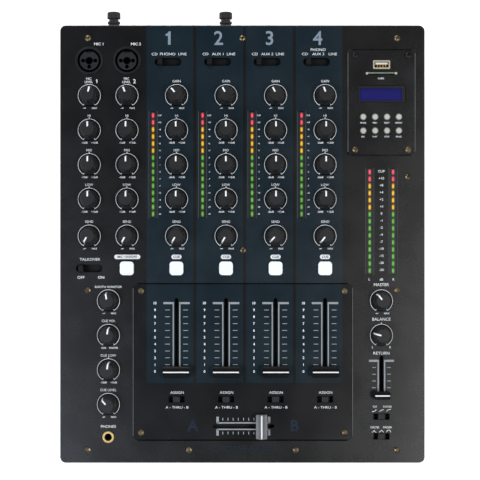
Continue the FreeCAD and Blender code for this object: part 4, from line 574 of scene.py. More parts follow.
@dataclass
class PrintSheet:
    """All printing of one ink on one face, gathered into one mesh.

    Attributes:
        name: piece name.
        face: the face that it is printed on.
        ink: its finish.
        film: ink thickness in millimetres, of which a fifth is keyed into the paint.
        sink: depth of the printed surface below the face.
        points: shapes gathered so far.
        faces: their faces, numbered on from shape to shape.
        count: points gathered so far.
    """

    name: str
    face: Face
    ink: Finish
    film: float = 0.05
    sink: float = 0.0
    points: list[Array] = field(default_factory=list)
    faces: Faces = field(default_factory=list)
    count: int = 0

    def add(self, points: Array, faces: Faces) -> None:
        """Adds a closed shape.

        Args:
            points: n by 3 array in millimetres on the face, with heights from nought to one.
            faces: corner numbers of each face.
        """
        scaled = points.copy()
        scaled[:, 2] = (points[:, 2] - 0.2) * self.film - self.sink
        self.points.append(scaled)
        self.faces += [tuple(corner + self.count for corner in face) for face in faces]
        self.count += len(points)

    def stroke(self, path: Array, width: float) -> None:
        """Carries a flat rectangle along a path.

        Each station is the path point plus and minus half the width along the path's normal, once at the
        bottom and once at the top.

        Args:
            path: n by 2 array on the face, in millimetres.
            width: stroke width.
        """
        along = np.gradient(path, axis=0)
        along /= np.linalg.norm(along, axis=1, keepdims=True)
        aside = np.stack([-along[:, 1], along[:, 0]], axis=1) * width / 2
        left, right = path + aside, path - aside
        level = np.zeros((len(path), 1))
        ring = np.stack([np.hstack([left, level]), np.hstack([right, level]),
                         np.hstack([right, level + 1]), np.hstack([left, level + 1])], axis=1)
        self.add(ring.reshape(-1, 3), tube_faces(len(path), 4))

    def line(self, start: tuple[float, float], end: tuple[float, float], width: float) -> None:
        """A straight stroke between two points."""
        self.stroke(np.array([start, end], float), width)

    def arc(self, centre: tuple[float, float], radius: float, first: float, last: float,
            width: float) -> None:
        """A stroke along centre + radius (sin t, cos t), with t in degrees clockwise from the rear."""
        turn = np.radians(np.linspace(first, last, max(3, int(abs(last - first) / 6))))
        self.stroke(np.array(centre) + radius * np.stack([np.sin(turn), np.cos(turn)], axis=1), width)

    def pill(self, centre: tuple[float, float], width: float, height: float, corner: float) -> None:
        """A filled round-cornered bar: four quarter circles about the corner centres, as one outline.

        Args:
            centre: middle of the bar on the face, in millimetres.
            width: its length along x.
            height: its length along y.
            corner: corner radius.
        """
        turn = np.radians(np.linspace(0, 360, 40, endpoint=False))
        reach = np.array([width / 2 - corner, height / 2 - corner])
        wave = np.stack([np.cos(turn), np.sin(turn)], axis=1)
        self.filled(np.array(centre) + np.where(wave >= 0, 1, -1) * reach + wave * corner)

    def filled(self, edge: Array) -> None:
        """A filled shape: its outline, anticlockwise, carried from the bottom of the film to the top."""
        level = np.repeat([0.0, 1.0], len(edge))[:, None]
        self.add(np.hstack([np.vstack([edge, edge]), level]), tube_faces(2, len(edge)))

    def text(self, words: str, centre: tuple[float, float], capital: float, weight: float = 0.0,
             stretch: float = 1.0) -> None:
        """Sets a word about a centre.

        Args:
            words: letters or numbers.
            centre: middle of the word on the face, in millimetres.
            capital: height of a capital.
            weight: how far the strokes are thickened.
            stretch: width against the font's own.
        """
        shape, faces = LETTERS.word(words, weight)
        points = shape * np.array([capital * stretch, capital, 1.0])
        points[:, :2] += centre
        self.add(points, faces)

    def numeral(self, number: int, centre: tuple[float, float], height: float) -> None:
        """Sets a bold numeral; one is drawn as a bar with a flag, because the font has a bare bar for it.

        Args:
            number: the numeral.
            centre: its middle on the face, in millimetres.
            height: its height.
        """
        if number == 1:
            flagged = np.array([(0.15, -0.5), (0.15, 0.5), (0.01, 0.5), (-0.06, 0.37), (-0.23, 0.3),
                                (-0.23, 0.17), (-0.05, 0.17), (-0.05, -0.5)])
            self.filled(np.array(centre) + height * flagged)
        else:
            self.text(str(number), centre, height, 0.012)

    def build(self) -> bpy.types.Object:
        """Makes the gathered printing one piece on the desk."""
        placed = self.face.place(np.vstack(self.points))
        return put_mesh(self.name, placed, self.faces, self.ink, DESK)


@dataclass(frozen=True)
class KnobLegend:
    """What is printed round one knob.

    Attributes:
        caption: word above the ring.
        low: word at the anticlockwise end.
        high: word at the clockwise end.
        centred: whether the ring has a mark at its middle.
        capital: height of the caption.
    """

    caption: str
    low: str = "-∞"
    high: str = "MAX"
    centred: bool = False
    capital: float = 2.05


def knob_legends() -> dict[str, KnobLegend]:
    """Words round all knobs.

    Returns:
        The legend of each knob by its CAD node, column by column.
    """
    found: dict[str, KnobLegend] = {}
    columns = [(f"mic{number}", "level", "", "-12dB") for number in (1, 2)]
    columns += [(f"ch{number}", "gain", "GAIN", "-26dB") for number in (1, 2, 3, 4)]
    for column, first, caption, cut in columns:
        found[f"{column}_{first}_knob"] = KnobLegend(caption)
        for band, word in (("high", "HI"), ("mid", "MID"), ("low", "LOW")):
            found[f"{column}_{band}_knob"] = KnobLegend(word, cut, "+12dB", True)
        found[f"{column}_send_knob"] = KnobLegend("SEND")
    found["booth_knob"] = KnobLegend("BOOTH MONITOR", capital=1.9)
    found["cue_mix_knob"] = KnobLegend("CUE MIX", "CUE", "MASTER")
    found["cue_low_knob"] = KnobLegend("CUE LOW", "-12dB", "+12dB", True)
    found["cue_level_knob"] = KnobLegend("CUE LEVEL")
    found["master_knob"] = KnobLegend("MASTER", capital=2.55)
    found["balance_knob"] = KnobLegend("BALANCE", "L", "R", True, 2.55)
    return found


@dataclass
class Knobs:
    """The rotary knobs: moulded caps with a painted pointer, in printed rings.

    Attributes:
        ring: radius of the printed ring.
        ring_width: its stroke.
        sweep: turn of a control to each side of its middle, in degrees.
        grip: cap radius at the foot of the grip.
        top: cap radius at the top.
        edge: bevel round the top.
        foot: height of the pointer's foot above the panel.
        skirt: height of the skirt's top above the panel.
        height: cap top above the panel.
        pointer: start of the pointer from the axis, and its width.
        end_mark: length and width of the mark at each end of the ring.
        middle_mark: start and end of the middle mark from the ring, and its width.
        caption: height of a caption of the usual size above the axis.
        ground: radius and width of the painted shadow under the knob's skirt, on the panel.
    """

    ring: float = 9.8
    ring_width: float = 0.42
    sweep: float = 150.0
    grip: float = 7.6
    top: float = 6.2
    edge: float = 0.7
    foot: float = 3.5
    skirt: float = 2.6
    height: float = 15.6
    pointer: tuple[float, float] = (1.6, 1.36)
    end_mark: tuple[float, float] = (1.2, 0.55)
    middle_mark: tuple[float, float, float] = (-0.2, 1.4, 0.7)
    caption: float = 12.7
    ground: tuple[float, float] = (7.5, 3.8)

    def rest_turn(self, node: str) -> float:
        """Clockwise angle at which a knob stands, from the middle of its joint's range."""
        joint = next(entry for entry in frame["joints"] if entry["child"] == node)
        return -sum(joint["range_deg"]) / 2

    def print_ring(self, sheet: PrintSheet, node: str, legend: KnobLegend) -> None:
        """Prints the ring, its end marks, its middle mark and its words round one knob.

        Args:
            sheet: white printing of the panel.
            node: the knob's CAD node.
            legend: its words.
        """
        x, y = middle_of(node)
        y -= PANEL_Y
        sheet.arc((x, y), self.ring, -self.sweep, self.sweep, self.ring_width)
        length, width = self.end_mark
        for side in (-1, 1):
            turn = math.radians(side * (self.sweep - 1.5))
            inner, outer = ((x + reach * math.sin(turn), y + reach * math.cos(turn))
                            for reach in (self.ring - length, self.ring))
            sheet.line(inner, outer, width)
        if legend.centred:
            start, end, width = self.middle_mark
            sheet.line((x, y + self.ring + start), (x, y + self.ring + end), width)
        if legend.low == "L":
            left, right, below, small = -7.7, 7.7, 10.4, 1.7
        else:
            left, right, below, small = -4.1, 4.7, 11.0, 1.5
        sheet.text(legend.low, (x + left, y - below), small, 0.022)
        sheet.text(legend.high, (x + right, y - below), small, 0.022)
        if legend.caption:
            rise = self.caption + 3 * (legend.capital - KnobLegend.capital)
            sheet.text(legend.caption, (x, y + rise), legend.capital, 0.004)

    def add_pointer(self, node: str) -> bpy.types.Object:
        """White paint of a pointer: a flat bar carried along the groove in the cap's top and down its side.

        The path is four (radius, height) corners; each station has the bar's two edges, once below the cap's
        outline and once almost level with it, along the outline's outward normal.

        Args:
            node: the knob's CAD node.

        Returns:
            The new piece, riding on the knob.
        """
        x, y = middle_of(node)
        start, width = self.pointer
        slope = (self.grip - self.top) / (self.height - self.edge - self.skirt)
        low = self.grip - slope * (self.foot - self.skirt)
        path = np.array([[start, self.height], [self.top - self.edge, self.height],
                         [self.top, self.height - self.edge], [low, self.foot]])
        outward = np.array([[0.0, 1.0], [0.38, 0.92], [0.92, 0.38], [0.995, 0.1]])
        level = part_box("top_panel")[1].z / MM
        turn = math.radians(self.rest_turn(node))
        ahead = np.array([math.sin(turn), math.cos(turn)])
        aside = np.array([math.cos(turn), -math.sin(turn)])
        rings = []
        for side, lift in ((-1, -0.3), (1, -0.3), (1, -0.02), (-1, -0.02)):
            spot = path + outward * lift
            plan = spot[:, :1] * ahead + side * width / 2 * aside + np.array([x, y])
            rings.append(np.hstack([plan, spot[:, 1:] + level]))
        points = np.stack(rings, axis=1).reshape(-1, 3) * MM
        name = node.replace("_knob", "_pointer")
        return put_mesh(name, points, tube_faces(len(path), 4), GROOVE_PAINT, node)

    def build(self) -> None:
        """Dresses every knob, prints its ring, paints its pointer and lays a painted shadow round its foot.
        """
        sheet = PrintSheet("knob_legends", Face.PANEL, WHITE_INK)
        # Painted shadow: a matt black ring under each knob's skirt, reaching almost to the printed ring.
        dark = PrintSheet("knob_grounds", Face.PANEL, KNOB_SHADOW_INK, film=0.03)
        for node, legend in knob_legends().items():
            dress(node, BLACK_ABS)
            x, y = middle_of(node)
            radius, width = self.ground
            dark.arc((x, y - PANEL_Y), radius, -180, 180, width)
            self.print_ring(sheet, node, legend)
            self.add_pointer(node)
        for number, node in ((1, "mic1_level_knob"), (2, "mic2_level_knob")):
            x, y = middle_of(node)
            y -= PANEL_Y
            sheet.text("MIC", (x - 0.4, y + 14.9), 1.9, 0.012)
            sheet.text("LEVEL", (x - 0.4, y + 12.0), 1.9, 0.012)
            sheet.numeral(number, (x + 6.6, y + 12.6), 3.5)
        sheet.build()
        dark.build()


@dataclass
class Faders:
    """The six faders: caps with a white index line, and the scales printed beside their slots.

    Attributes:
        line: width of the index line.
        channels: x of the four channel columns.
        top: y of a channel fader at ten.
        unit: one division of a channel scale.
        return_x: x of the return fader.
        return_top: y of the return fader at ten.
        cross: middle of the crossfader.
        rail: distance of a scale's rails from the middle of the slot.
    """

    line: float = 1.06
    channels: tuple[float, ...] = CHANNEL_X
    top: float = -51.8
    unit: float = 6.0
    return_x: float = 122.0
    return_top: float = -102.4
    cross: tuple[float, float] = (1.0, -159.8)
    rail: float = 2.85

    def add_line(self, node: str, across: bool) -> bpy.types.Object:
        """Index line of one cap: a flat bar along the groove in the ridge, dipping a little at each end.

        Args:
            node: the fader's CAD node.
            across: whether the line runs along x.

        Returns:
            The new piece, riding on the cap.
        """
        low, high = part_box(node)
        x, y = middle_of(node)
        half = ((high.x - low.x) if across else (high.y - low.y)) / 2 / MM
        along = np.array([0.45 - half, 0.6 - half, half - 0.6, half - 0.45])
        drop = np.array([-0.1, 0.0, 0.0, -0.1])
        top = high.z / MM
        rings = []
        for side, lift in ((-1, -0.28), (1, -0.28), (1, -0.02), (-1, -0.02)):
            aside = np.full(4, side * self.line / 2)
            plan = (along, aside) if across else (-aside, along)
            rings.append(np.stack([plan[0] + x, plan[1] + y, top + lift + drop], axis=1))
        points = np.stack(rings, axis=1).reshape(-1, 3) * MM
        return put_mesh(node + "_line", points, tube_faces(4, 4), GROOVE_PAINT, node)

    def scale(self, sheet: PrintSheet, x: float, top: float, unit: float, steps: int,
              marks: tuple[float, float], bar: float) -> None:
        """Prints one upright scale: rails beside the slot, a top bar and a mark on each side at every unit.

        Args:
            sheet: printing that gets it.
            x: middle of the slot.
            top: y of the top bar.
            unit: one division.
            steps: number of divisions.
            marks: start and end of a mark from the middle.
            bar: end of the top bar from the middle.
        """
        end = top - unit * steps
        for side in (-1, 1):
            sheet.line((x + side * self.rail, top + 0.9), (x + side * self.rail, end), 1.05)
            sheet.line((x + side * 3.2, top), (x + side * bar, top), 1.8)
            for step in range(1, steps):
                y = top - unit * step
                sheet.line((x + side * marks[0], y), (x + side * marks[1], y), 0.6)

    def build(self) -> None:
        """Dresses the caps, adds their lines and prints the scales."""
        for number in (1, 2, 3, 4):
            dress(f"ch{number}_fader", POLISHED_ABS)
            self.add_line(f"ch{number}_fader", True)
        dress("cross_fader", GREY_CAP)
        self.add_line("cross_fader", False)
        dress("return_fader", POLISHED_ABS)
        self.add_line("return_fader", True)
        lines = PrintSheet("fader_scales", Face.FADER_PLATE, SCALE_INK)
        plate = PrintSheet("fader_words", Face.FADER_PLATE, WHITE_INK)
        for x in self.channels:
            self.scale(lines, x, self.top, self.unit, 10, (5.9, 10.1), 11.6)
            for step in range(11):
                plate.text(str(10 - step), (x - 18.9, self.top - self.unit * step), 2.1, 0.03)
            plate.text("ASSIGN", (x + 0.4, -130.3), 2.15, 0.0, 1.14)
            plate.text("A - THRU - B", (x + 0.4, -143.3), 2.1, 0.0, 1.16)
        self.cross_scale(lines)
        lines.build()
        plate.build()
        panel = PrintSheet("return_scale", Face.PANEL, SCALE_INK)
        self.scale(panel, self.return_x, self.return_top, 5.9, 5, (4.9, 8.2), 11.0)
        panel.build()
        word = PrintSheet("return_word", Face.PANEL, WHITE_INK)
        word.text("RETURN", (self.return_x, -95.7), 2.45, 0.004, 1.07)
        word.build()
        self.letters()

    def cross_scale(self, sheet: PrintSheet) -> None:
        """Prints the level scale of the crossfader: two rails, an end bracket each side and short marks.

        Args:
            sheet: printing that gets it.
        """
        x, y = self.cross
        for side in (-1, 1):
            rail = y + side * self.rail
            sheet.line((x - 23.4, rail), (x + 22.8, rail), 1.15)
            for end in (-22.8, 22.5):
                sheet.line((x + end, rail), (x + end, rail + side * 5.4), 2.1)
            for step in range(-4, 5):
                sheet.line((x + step * 4.55, rail + side * 2.0), (x + step * 4.55, rail + side * 4.4), 0.7)

    def letters(self) -> None:
        """Prints the large dark letters at the crossfader's ends and the word in front of the plate."""
        plate = PrintSheet("cross_letters", Face.FADER_PLATE, NAVY_INK)
        plate.text("A", (-43.5, -159.3), 9.2, 0.03)
        plate.text("B", (46.0, -159.3), 9.2, 0.03)
        plate.build()
        panel = PrintSheet("cross_word", Face.PANEL, NAVY_INK)
        panel.text("CROSSFADER", (0.4, -179.4), 5.0, 0.0, 1.28)
        panel.build()


@dataclass
class Switches:
    """Source selectors, talkover switch, small slide switches and lit buttons, with their words.

    Attributes:
        channels: x of the four channel columns.
        mic_x: x of the microphone button.
        pill_y: y of the captions over the buttons.
        source_y: y of the source words.
        sources: x of the three source words of each channel.
    """

    channels: tuple[float, ...] = CHANNEL_X
    mic_x: float = -101.0
    pill_y: float = -11.2
    source_y: float = 166.8
    sources: tuple[tuple[float, float, float], ...] = (
        (-77.0, -65.6, -52.6), (-32.4, -21.6, -9.9), (10.9, 21.8, 33.0), (54.9, 66.5, 79.4))

    def build(self) -> None:
        """Dresses the moving pieces and prints their words."""
        for node in ("source_selectors", "talkover_switch", "power_rocker"):
            dress(node, BLACK_NYLON)
        dress("slide_switches", GREY_NYLON)
        dress("cue_buttons", LIT_ACRYLIC)
        words = PrintSheet("switch_legends", Face.PANEL, WHITE_INK)
        for places, middle in zip(self.sources, ("PHONO", "AUX 1", "AUX 2", "AUX 3")):
            for x, word in zip(places, ("CD", middle, "LINE")):
                words.text(word, (x, self.source_y), 2.2, 0.0, 1.16)
        words.text("PHONO", (66.5, self.source_y + 3.8), 2.2, 0.0, 1.16)
        words.text("TALKOVER", (-133.8, -13.4), 2.25, 0.008, 1.1)
        for word, x in (("OFF", -141.6), ("ON", -124.0)):
            words.text(word, (x, -29.2), 2.3, 0.012, 1.08)
        words.pill((self.mic_x, self.pill_y), 22.8, 3.9, 1.9)
        for x in self.channels:
            words.pill((x, self.pill_y), 9.0, 3.9, 1.9)
        self.curves(words)
        words.build()
        dark = PrintSheet("pill_words", Face.PANEL, BLACK_INK, film=0.1)
        dark.text("MIC ON/OFF", (self.mic_x, self.pill_y), 1.9, 0.015, 1.1)
        for x in self.channels:
            dark.text("CUE", (x, self.pill_y), 1.9, 0.015, 1.1)
        dark.build()

    def curves(self, sheet: PrintSheet) -> None:
        """Prints the words and the three little response curves over each curve switch.

        A curve is (u, u to a power) for the channel faders, and for the crossfader it is
        (u, 1 - |2u - 1| to one over that power).

        Args:
            sheet: printing that gets them.
        """
        run = np.linspace(0, 1, 7)
        for y, first, second in ((-142.6, "CH", "FADER"), (-160.8, "CROSS", "FADER")):
            for word, x in ((first, 116.2), (second, 127.4)):
                sheet.text(word, (x, y), 1.65, 0.006, 1.08)
            for x, power in ((115.6, 4.0), (122.0, 1.0), (128.4, 0.3)):
                rise = run ** power if first == "CH" else 1 - np.abs(2 * run - 1) ** (1 / power)
                sheet.stroke(np.stack([x - 1.9 + 3.8 * run, y - 4.3 + 1.9 * rise], axis=1), 0.45)


@dataclass(frozen=True)
class LampGrid:
    """Where lamps stand: the middle of one and the spacing along x and y, in millimetres of the frame."""

    first: tuple[float, float] = (0.0, 0.0)
    pitch: tuple[float, float] = (10.0, 10.0)


@dataclass(frozen=True)
class MeterLamps(Finish):
    """Clear lamps lit from inside: brightest at the middle of each and dim towards its edges.

    Attributes:
        parting: x that parts the two grids.
        left: lamps left of the parting.
        right: lamps right of it.
        half: half a lamp along x and y.
        core: share of the half size that is fully lit.
        rim: share at which the light is dimmest.
        dim: share of the light that is left there.
    """

    parting: float = 0.0
    left: LampGrid = LampGrid()
    right: LampGrid = LampGrid()
    half: tuple[float, float] = (1.25, 2.5)
    core: float = 0.35
    rim: float = 1.15
    dim: float = 0.2

    def layers(self, tree: bpy.types.NodeTree, axes: list[bpy.types.NodeSocket]) -> Layers:
        """Lamp colours scaled by how near the place is to the middle of its lamp, as an oval.

        Args:
            tree: node tree of the material.
            axes: the three Object coordinates.

        Returns:
            A value or a socket for colour, metallic and roughness.
        """
        colour, metal, rough = super().layers(tree, axes)
        side = add_node(tree, "ShaderNodeMath", {"operation": "GREATER_THAN"},
                        {0: axes[0], 1: self.parting * MM}).outputs[0]
        near = []
        for axis in (0, 1):
            first = add_node(tree, "ShaderNodeMapRange", inputs={
                0: side, 3: self.left.first[axis] * MM, 4: self.right.first[axis] * MM}).outputs[0]
            reach = add_node(tree, "ShaderNodeMapRange", inputs={
                0: side, 3: self.left.pitch[axis] / 2 * MM, 4: self.right.pitch[axis] / 2 * MM}).outputs[0]
            back = add_node(tree, "ShaderNodeMath", {"operation": "MULTIPLY"},
                            {0: reach, 1: -1.0}).outputs[0]
            offset = add_node(tree, "ShaderNodeMath", {"operation": "SUBTRACT"},
                              {0: axes[axis], 1: first}).outputs[0]
            wrapped = add_node(tree, "ShaderNodeMath", {"operation": "WRAP"},
                               {0: offset, 1: reach, 2: back}).outputs[0]
            near.append(add_node(tree, "ShaderNodeMath", {"operation": "DIVIDE"},
                                 {0: wrapped, 1: self.half[axis] * MM}).outputs[0])
        offsets = add_node(tree, "ShaderNodeCombineXYZ", inputs={0: near[0], 1: near[1]}).outputs[0]
        away = add_node(tree, "ShaderNodeVectorMath", {"operation": "LENGTH"}, {0: offsets}).outputs["Value"]
        share = add_node(tree, "ShaderNodeMapRange", {"interpolation_type": "SMOOTHSTEP"},
                         {0: away, 1: self.core, 2: self.rim, 3: 1.0, 4: self.dim}).outputs[0]
        lit = add_node(tree, "ShaderNodeVectorMath", {"operation": "SCALE"},
                       {0: colour, "Scale": share}).outputs[0]
        return lit, metal, rough


@dataclass(frozen=True)
class LiquidCrystal(Finish):
    """Display glass whose cell pattern stays inside the glass."""

    def layers(self, tree: bpy.types.NodeTree, axes: list[bpy.types.NodeSocket]) -> Layers:
        """Black frame, blue glass, and slightly lighter cells where both masks hold.

        Args:
            tree: node tree of the material.
            axes: the three Object coordinates.

        Returns:
            A value or a socket for colour, metallic and roughness.
        """
        glass, cells = self.patches
        inside = glass.mask(tree, axes)
        cell = add_node(tree, "ShaderNodeMath", {"operation": "MULTIPLY"},
                        {0: inside, 1: cells.mask(tree, axes)}).outputs[0]
        base = add_node(tree, "ShaderNodeMix", {"data_type": "RGBA"},
                        {0: inside, 6: linear(self.colour), 7: linear(glass.colour)}).outputs[2]
        colour = add_node(tree, "ShaderNodeMix", {"data_type": "RGBA"},
                          {0: cell, 6: base, 7: linear(cells.colour)}).outputs[2]
        rough = add_node(tree, "ShaderNodeMix", {"data_type": "FLOAT"},
                         {0: inside, 2: self.roughness, 3: glass.roughness}).outputs[0]
        return colour, self.metallic, rough


@dataclass
class Meters:
    """Level meters: dark bars with lit lamps, and their decibel numbers.

    Attributes:
        channels: x of the four channel meters.
        masters: x of the two master meters.
        channel_y: middle of a channel meter.
        master_y: middle of a master meter.
        pitch: lamp spacing.
        window: half of a meter's window along x and y.
        numbers: words beside the lamps, from the top.
    """

    channels: tuple[float, ...] = (-78.4, -34.95, 8.5, 51.95)
    masters: tuple[float, ...] = (111.75, 132.25)
    channel_y: float = 69.7
    master_y: float = 20.0
    pitch: float = 6.18
    window: tuple[float, float] = (3.6, 47.0)
    numbers: tuple[str, ...] = ("CLIP", "+10", "+8", "+4", "+2", "+1", "0", "-1", "-2", "-4", "-7", "-10",
                                "-15", "-20", "-30")

    def finish(self) -> MeterLamps:
        """Clear cast lamps in a black bar: bright, saturated spots in a dull dark strip.

        The lamps stand proud of the bar, so height tells them apart, and their place along the meter gives
        red, amber or green.

        Returns:
            The finish of all six meters.
        """
        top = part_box("level_meters")[1].z / MM
        patches = []
        for middle, left, right in ((self.channel_y, -90, 60), (self.master_y, 100, 145)):
            y = middle + PANEL_Y
            for first, last, colour in ((-7, 1, "#5a9c3c"), (2, 5, "#d6a222"), (6, 7, "#df485e")):
                patches.append(Patch(((left + right) / 2, y + (first + last) / 2 * self.pitch, top),
                                     ((right - left) / 2, (last - first + 1) / 2 * self.pitch, 0.2),
                                     colour, roughness=0.3))
        left, right = (LampGrid((row[0], y + PANEL_Y), (row[1] - row[0], self.pitch))
                       for row, y in ((self.channels, self.channel_y), (self.masters, self.master_y)))
        return MeterLamps("cast_epoxy_in_black_acetal", "#060607", 0.4, grain=0.8, depth=0.003, mottle=0.1,
                          glow=0.5, patches=tuple(patches), parting=80.0, left=left, right=right)

    def build(self) -> None:
        """Dresses the meters, paints a highlight along the long edges of their windows and prints the
        numbers.
        """
        dress("level_meters", self.finish())
        # Painted highlight along the long edges of each meter window.
        edges = PrintSheet("meter_edge_highlights", Face.PANEL, WINDOW_EDGE_HIGHLIGHT)
        words = PrintSheet("meter_numbers", Face.PANEL, WHITE_INK)
        meters = [(x, self.channel_y) for x in self.channels] + [(x, self.master_y) for x in self.masters]
        wide, tall = self.window
        for x, y in meters:
            for edge in (x - wide, x + wide):
                edges.line((edge, y - tall), (edge, y + tall), 0.5)
        between = sum(self.masters) / 2
        for step, number in enumerate(self.numbers):
            rise = (len(self.numbers) // 2 - step) * self.pitch
            for x in self.channels:
                words.text(number, (x + 5.9, self.channel_y + rise), 1.25, 0.015, 0.9)
            words.text(number, (between, self.master_y + rise + 0.7), 2.0, 0.008, 1.05)
        for word, x in (("L", 111.4), ("dB", between), ("R", 132.6)):
            words.text(word, (x, -31.0), 2.0, 0.015)
        edges.build()
        words.build()


@dataclass
class Plates:
    """Case, control panel, fader plate and player plate with their fixed pieces and headings.

    Attributes:
        numerals: x of the large channel numbers.
        numeral_y: y of those numbers.
        player_x: middle of the player plate.
        keys: x of the first key, spacing of the keys and y of the words below each row.
    """

    numerals: tuple[float, ...] = (-64.7, -20.9, 23.8, 66.0)
    numeral_y: float = 180.8
    player_x: float = 122.0
    keys: tuple[float, float, tuple[float, float]] = (105.9, 10.4, (106.3, 94.2))

    def screws(self) -> Finish:
        """Yellow zinc that has dulled to bronze, and black screws at the rear of the player plate.

        Returns:
            The finish of all screws.
        """
        rear = Patch((self.player_x, 162.0 + PANEL_Y, 0), (32.0, 10.0, 0), "#1d1c1b", 0.6, 0.4)
        return Finish("passivated_zinc_steel", "#756852", 0.32, 1.0, grain=0.5, depth=0.008, mottle=0.25,
                      patches=(rear,))

    def edges(self) -> None:
        """Paints light and shade at the plate openings: a painted highlight along both sides and painted
        shade in the joints across.
        """
        for node, face, name in (("fader_panel", Face.PANEL, "fader"),
                                 ("player_panel", Face.PLAYER_PLATE, "player")):
            low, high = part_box(node)
            left, right = low.x / MM, high.x / MM
            front, rear = low.y / MM - PANEL_Y, high.y / MM - PANEL_Y
            out = 0.75 if face is Face.PANEL else -0.6
            # Painted highlight along both sides of each opening, where the pressed edge would catch the
            # light.
            bright = PrintSheet(name + "_side_highlights", face, EDGE_HIGHLIGHT)
            for x in (left - out, right + out):
                bright.line((x, front + 3.6), (x, rear - 3.6), 0.6)
            # Painted shade in the joints across each opening.
            dark = PrintSheet(name + "_joint_shades", face, JOINT_SHADE)
            for y in (front - out, rear + out):
                dark.line((left + 3.6, y), (right - 3.6, y), 0.8)
            bright.build()
            dark.build()

    def build(self) -> None:
        """Dresses the fixed nodes and prints the headings."""
        dress("base_case", CASE_COAT)
        dress("top_panel", PANEL_PAINT)
        dress("fader_panel", FADER_PAINT)
        dress("player_panel", PLATE_PAINT)
        dress("control_mechanisms", PHENOLIC)
        dress("circuit_boards", BOARD)
        dress("screws", self.screws())
        dress("rubber_feet", RUBBER)
        dress("player_keys", PALE_KEY)
        dress("display", self.display())
        dress("panel_sockets", self.sockets())
        numbers = PrintSheet("channel_numbers", Face.PANEL, GREY_INK)
        for number, x in enumerate(self.numerals, start=1):
            numbers.numeral(number, (x, self.numeral_y), 11.7)
        numbers.build()
        words = PrintSheet("panel_headings", Face.PANEL, WHITE_INK)
        for word, x in (("MIC 1", -126.0), ("MIC 2", -93.4)):
            words.text(word, (x, 175.6), 2.2, 0.015, 1.1)
        words.text("PHONES", (-117.6, -160.0), 2.2, 0.01, 1.1)
        words.build()
        self.edges()
        self.player_words()
        self.contacts()

    def player_words(self) -> None:
        """Prints the small words below the player's keys and card slot."""
        first, pitch, rows = self.keys
        words = PrintSheet("player_legends", Face.PLAYER_PLATE, WHITE_INK)
        names = (("MODE", "PREV", "NEXT", "REPEAT"), ("REC", "PLAY", "STOP", "ERASE"))
        for y, row in zip(rows, names):
            for step, name in enumerate(row):
                words.text(name, (first + pitch * step, y), 1.25, 0.016)
        words.text("CARD", (121.4, 145.2), 1.4, 0.012)
        words.build()

    def contacts(self) -> None:
        """Adds what shows in the memory sockets: a pale tongue with four springs, and the card contacts."""
        tongue = PrintSheet("stick_tongue", Face.PLAYER_PLATE, WHITE_INSERT, film=0.3, sink=0.3)
        tongue.pill((self.player_x, 158.3), 10.6, 1.7, 0.3)
        tongue.build()
        springs = PrintSheet("stick_springs", Face.PLAYER_PLATE, GOLD, film=0.3, sink=0.5)
        for step in (-1.5, -0.5, 0.5, 1.5):
            x = self.player_x + step * 2.4
            springs.line((x, 157.4), (x, 155.4), 0.9)
        springs.build()
        strip = PrintSheet("card_strip", Face.PLAYER_PLATE, EPOXY, film=0.3, sink=0.6)
        strip.line((110.4, 150.1), (133.6, 150.1), 1.1)
        strip.build()
        guides = PrintSheet("card_guides", Face.PLAYER_PLATE, TIN, film=0.3, sink=0.5)
        for side in (-1, 1):
            guides.pill((self.player_x + side * 12.7, 149.8), 2.2, 2.2, 0.9)
        guides.build()

    def display(self) -> LiquidCrystal:
        """Blue liquid crystal glass in a black frame: darker seams part its cells.

        Returns:
            The finish of the display.
        """
        x, y = 121.5, 131.2 + PANEL_Y
        glass = Patch((x, y, 0), (18.5, 5.4, 0), "#1a1a52", roughness=0.12)
        cells = Patch((x - 1.0, y, 0), (0.85, 0, 0), "#1e1e5e", roughness=0.12, pitch=(2.1, 0, 0))
        return LiquidCrystal("liquid_crystal_glass", "#0b0b0c", 0.3, grain=0.8, depth=0.001, mottle=0.05,
                             glow=0.2, patches=(glass, cells))

    def sockets(self) -> Finish:
        """Moulded nylon with a dull skin, painted shade in the keyways and in the mouth of the memory stick
        socket, a gold headphone ring and plated memory sockets.

        Returns:
            The finish of the panel's sockets.
        """
        y = PANEL_Y
        keyways = []
        for x in (-134.4, -101.3):
            keyways.append(Patch((x, 161.0 + y, 91.4), (8.4, 8.4, 0.3), "#141519", roughness=0.5))
            # Painted shade: near black in the openings of the microphone sockets.
            keyways.append(Patch((x, 161.0 + y, 0), (5.9, 1.3, 0), "#030304"))
            keyways.append(Patch((x, 158.2 + y, 0), (1.4, 3.0, 0), "#030304"))
        ring = Patch((-117.6, -169.3 + y, 92.0), (5.6, 5.6, 1.0), "#d8b878", 0.6, 0.35)
        stick = Patch((self.player_x, 157.3 + y, 0), (8.6, 4.4, 0), "#b3a791", 0.5, 0.4)
        # Painted shade inside the mouth of the memory stick socket.
        mouth = Patch((self.player_x, 157.3 + y, 0), (6.0, 2.4, 0), "#4a3222", 0.0, 0.5)
        card = Patch((self.player_x, 149.8 + y, 0), (15, 2.2, 0), "#3c372c", 0.3, 0.5)
        return Finish("moulded_nylon_with_plating", "#101011", 0.42, grain=0.7, depth=0.006, mottle=0.14,
                      specular=0.3, patches=(*keyways, ring, stick, mouth, card))


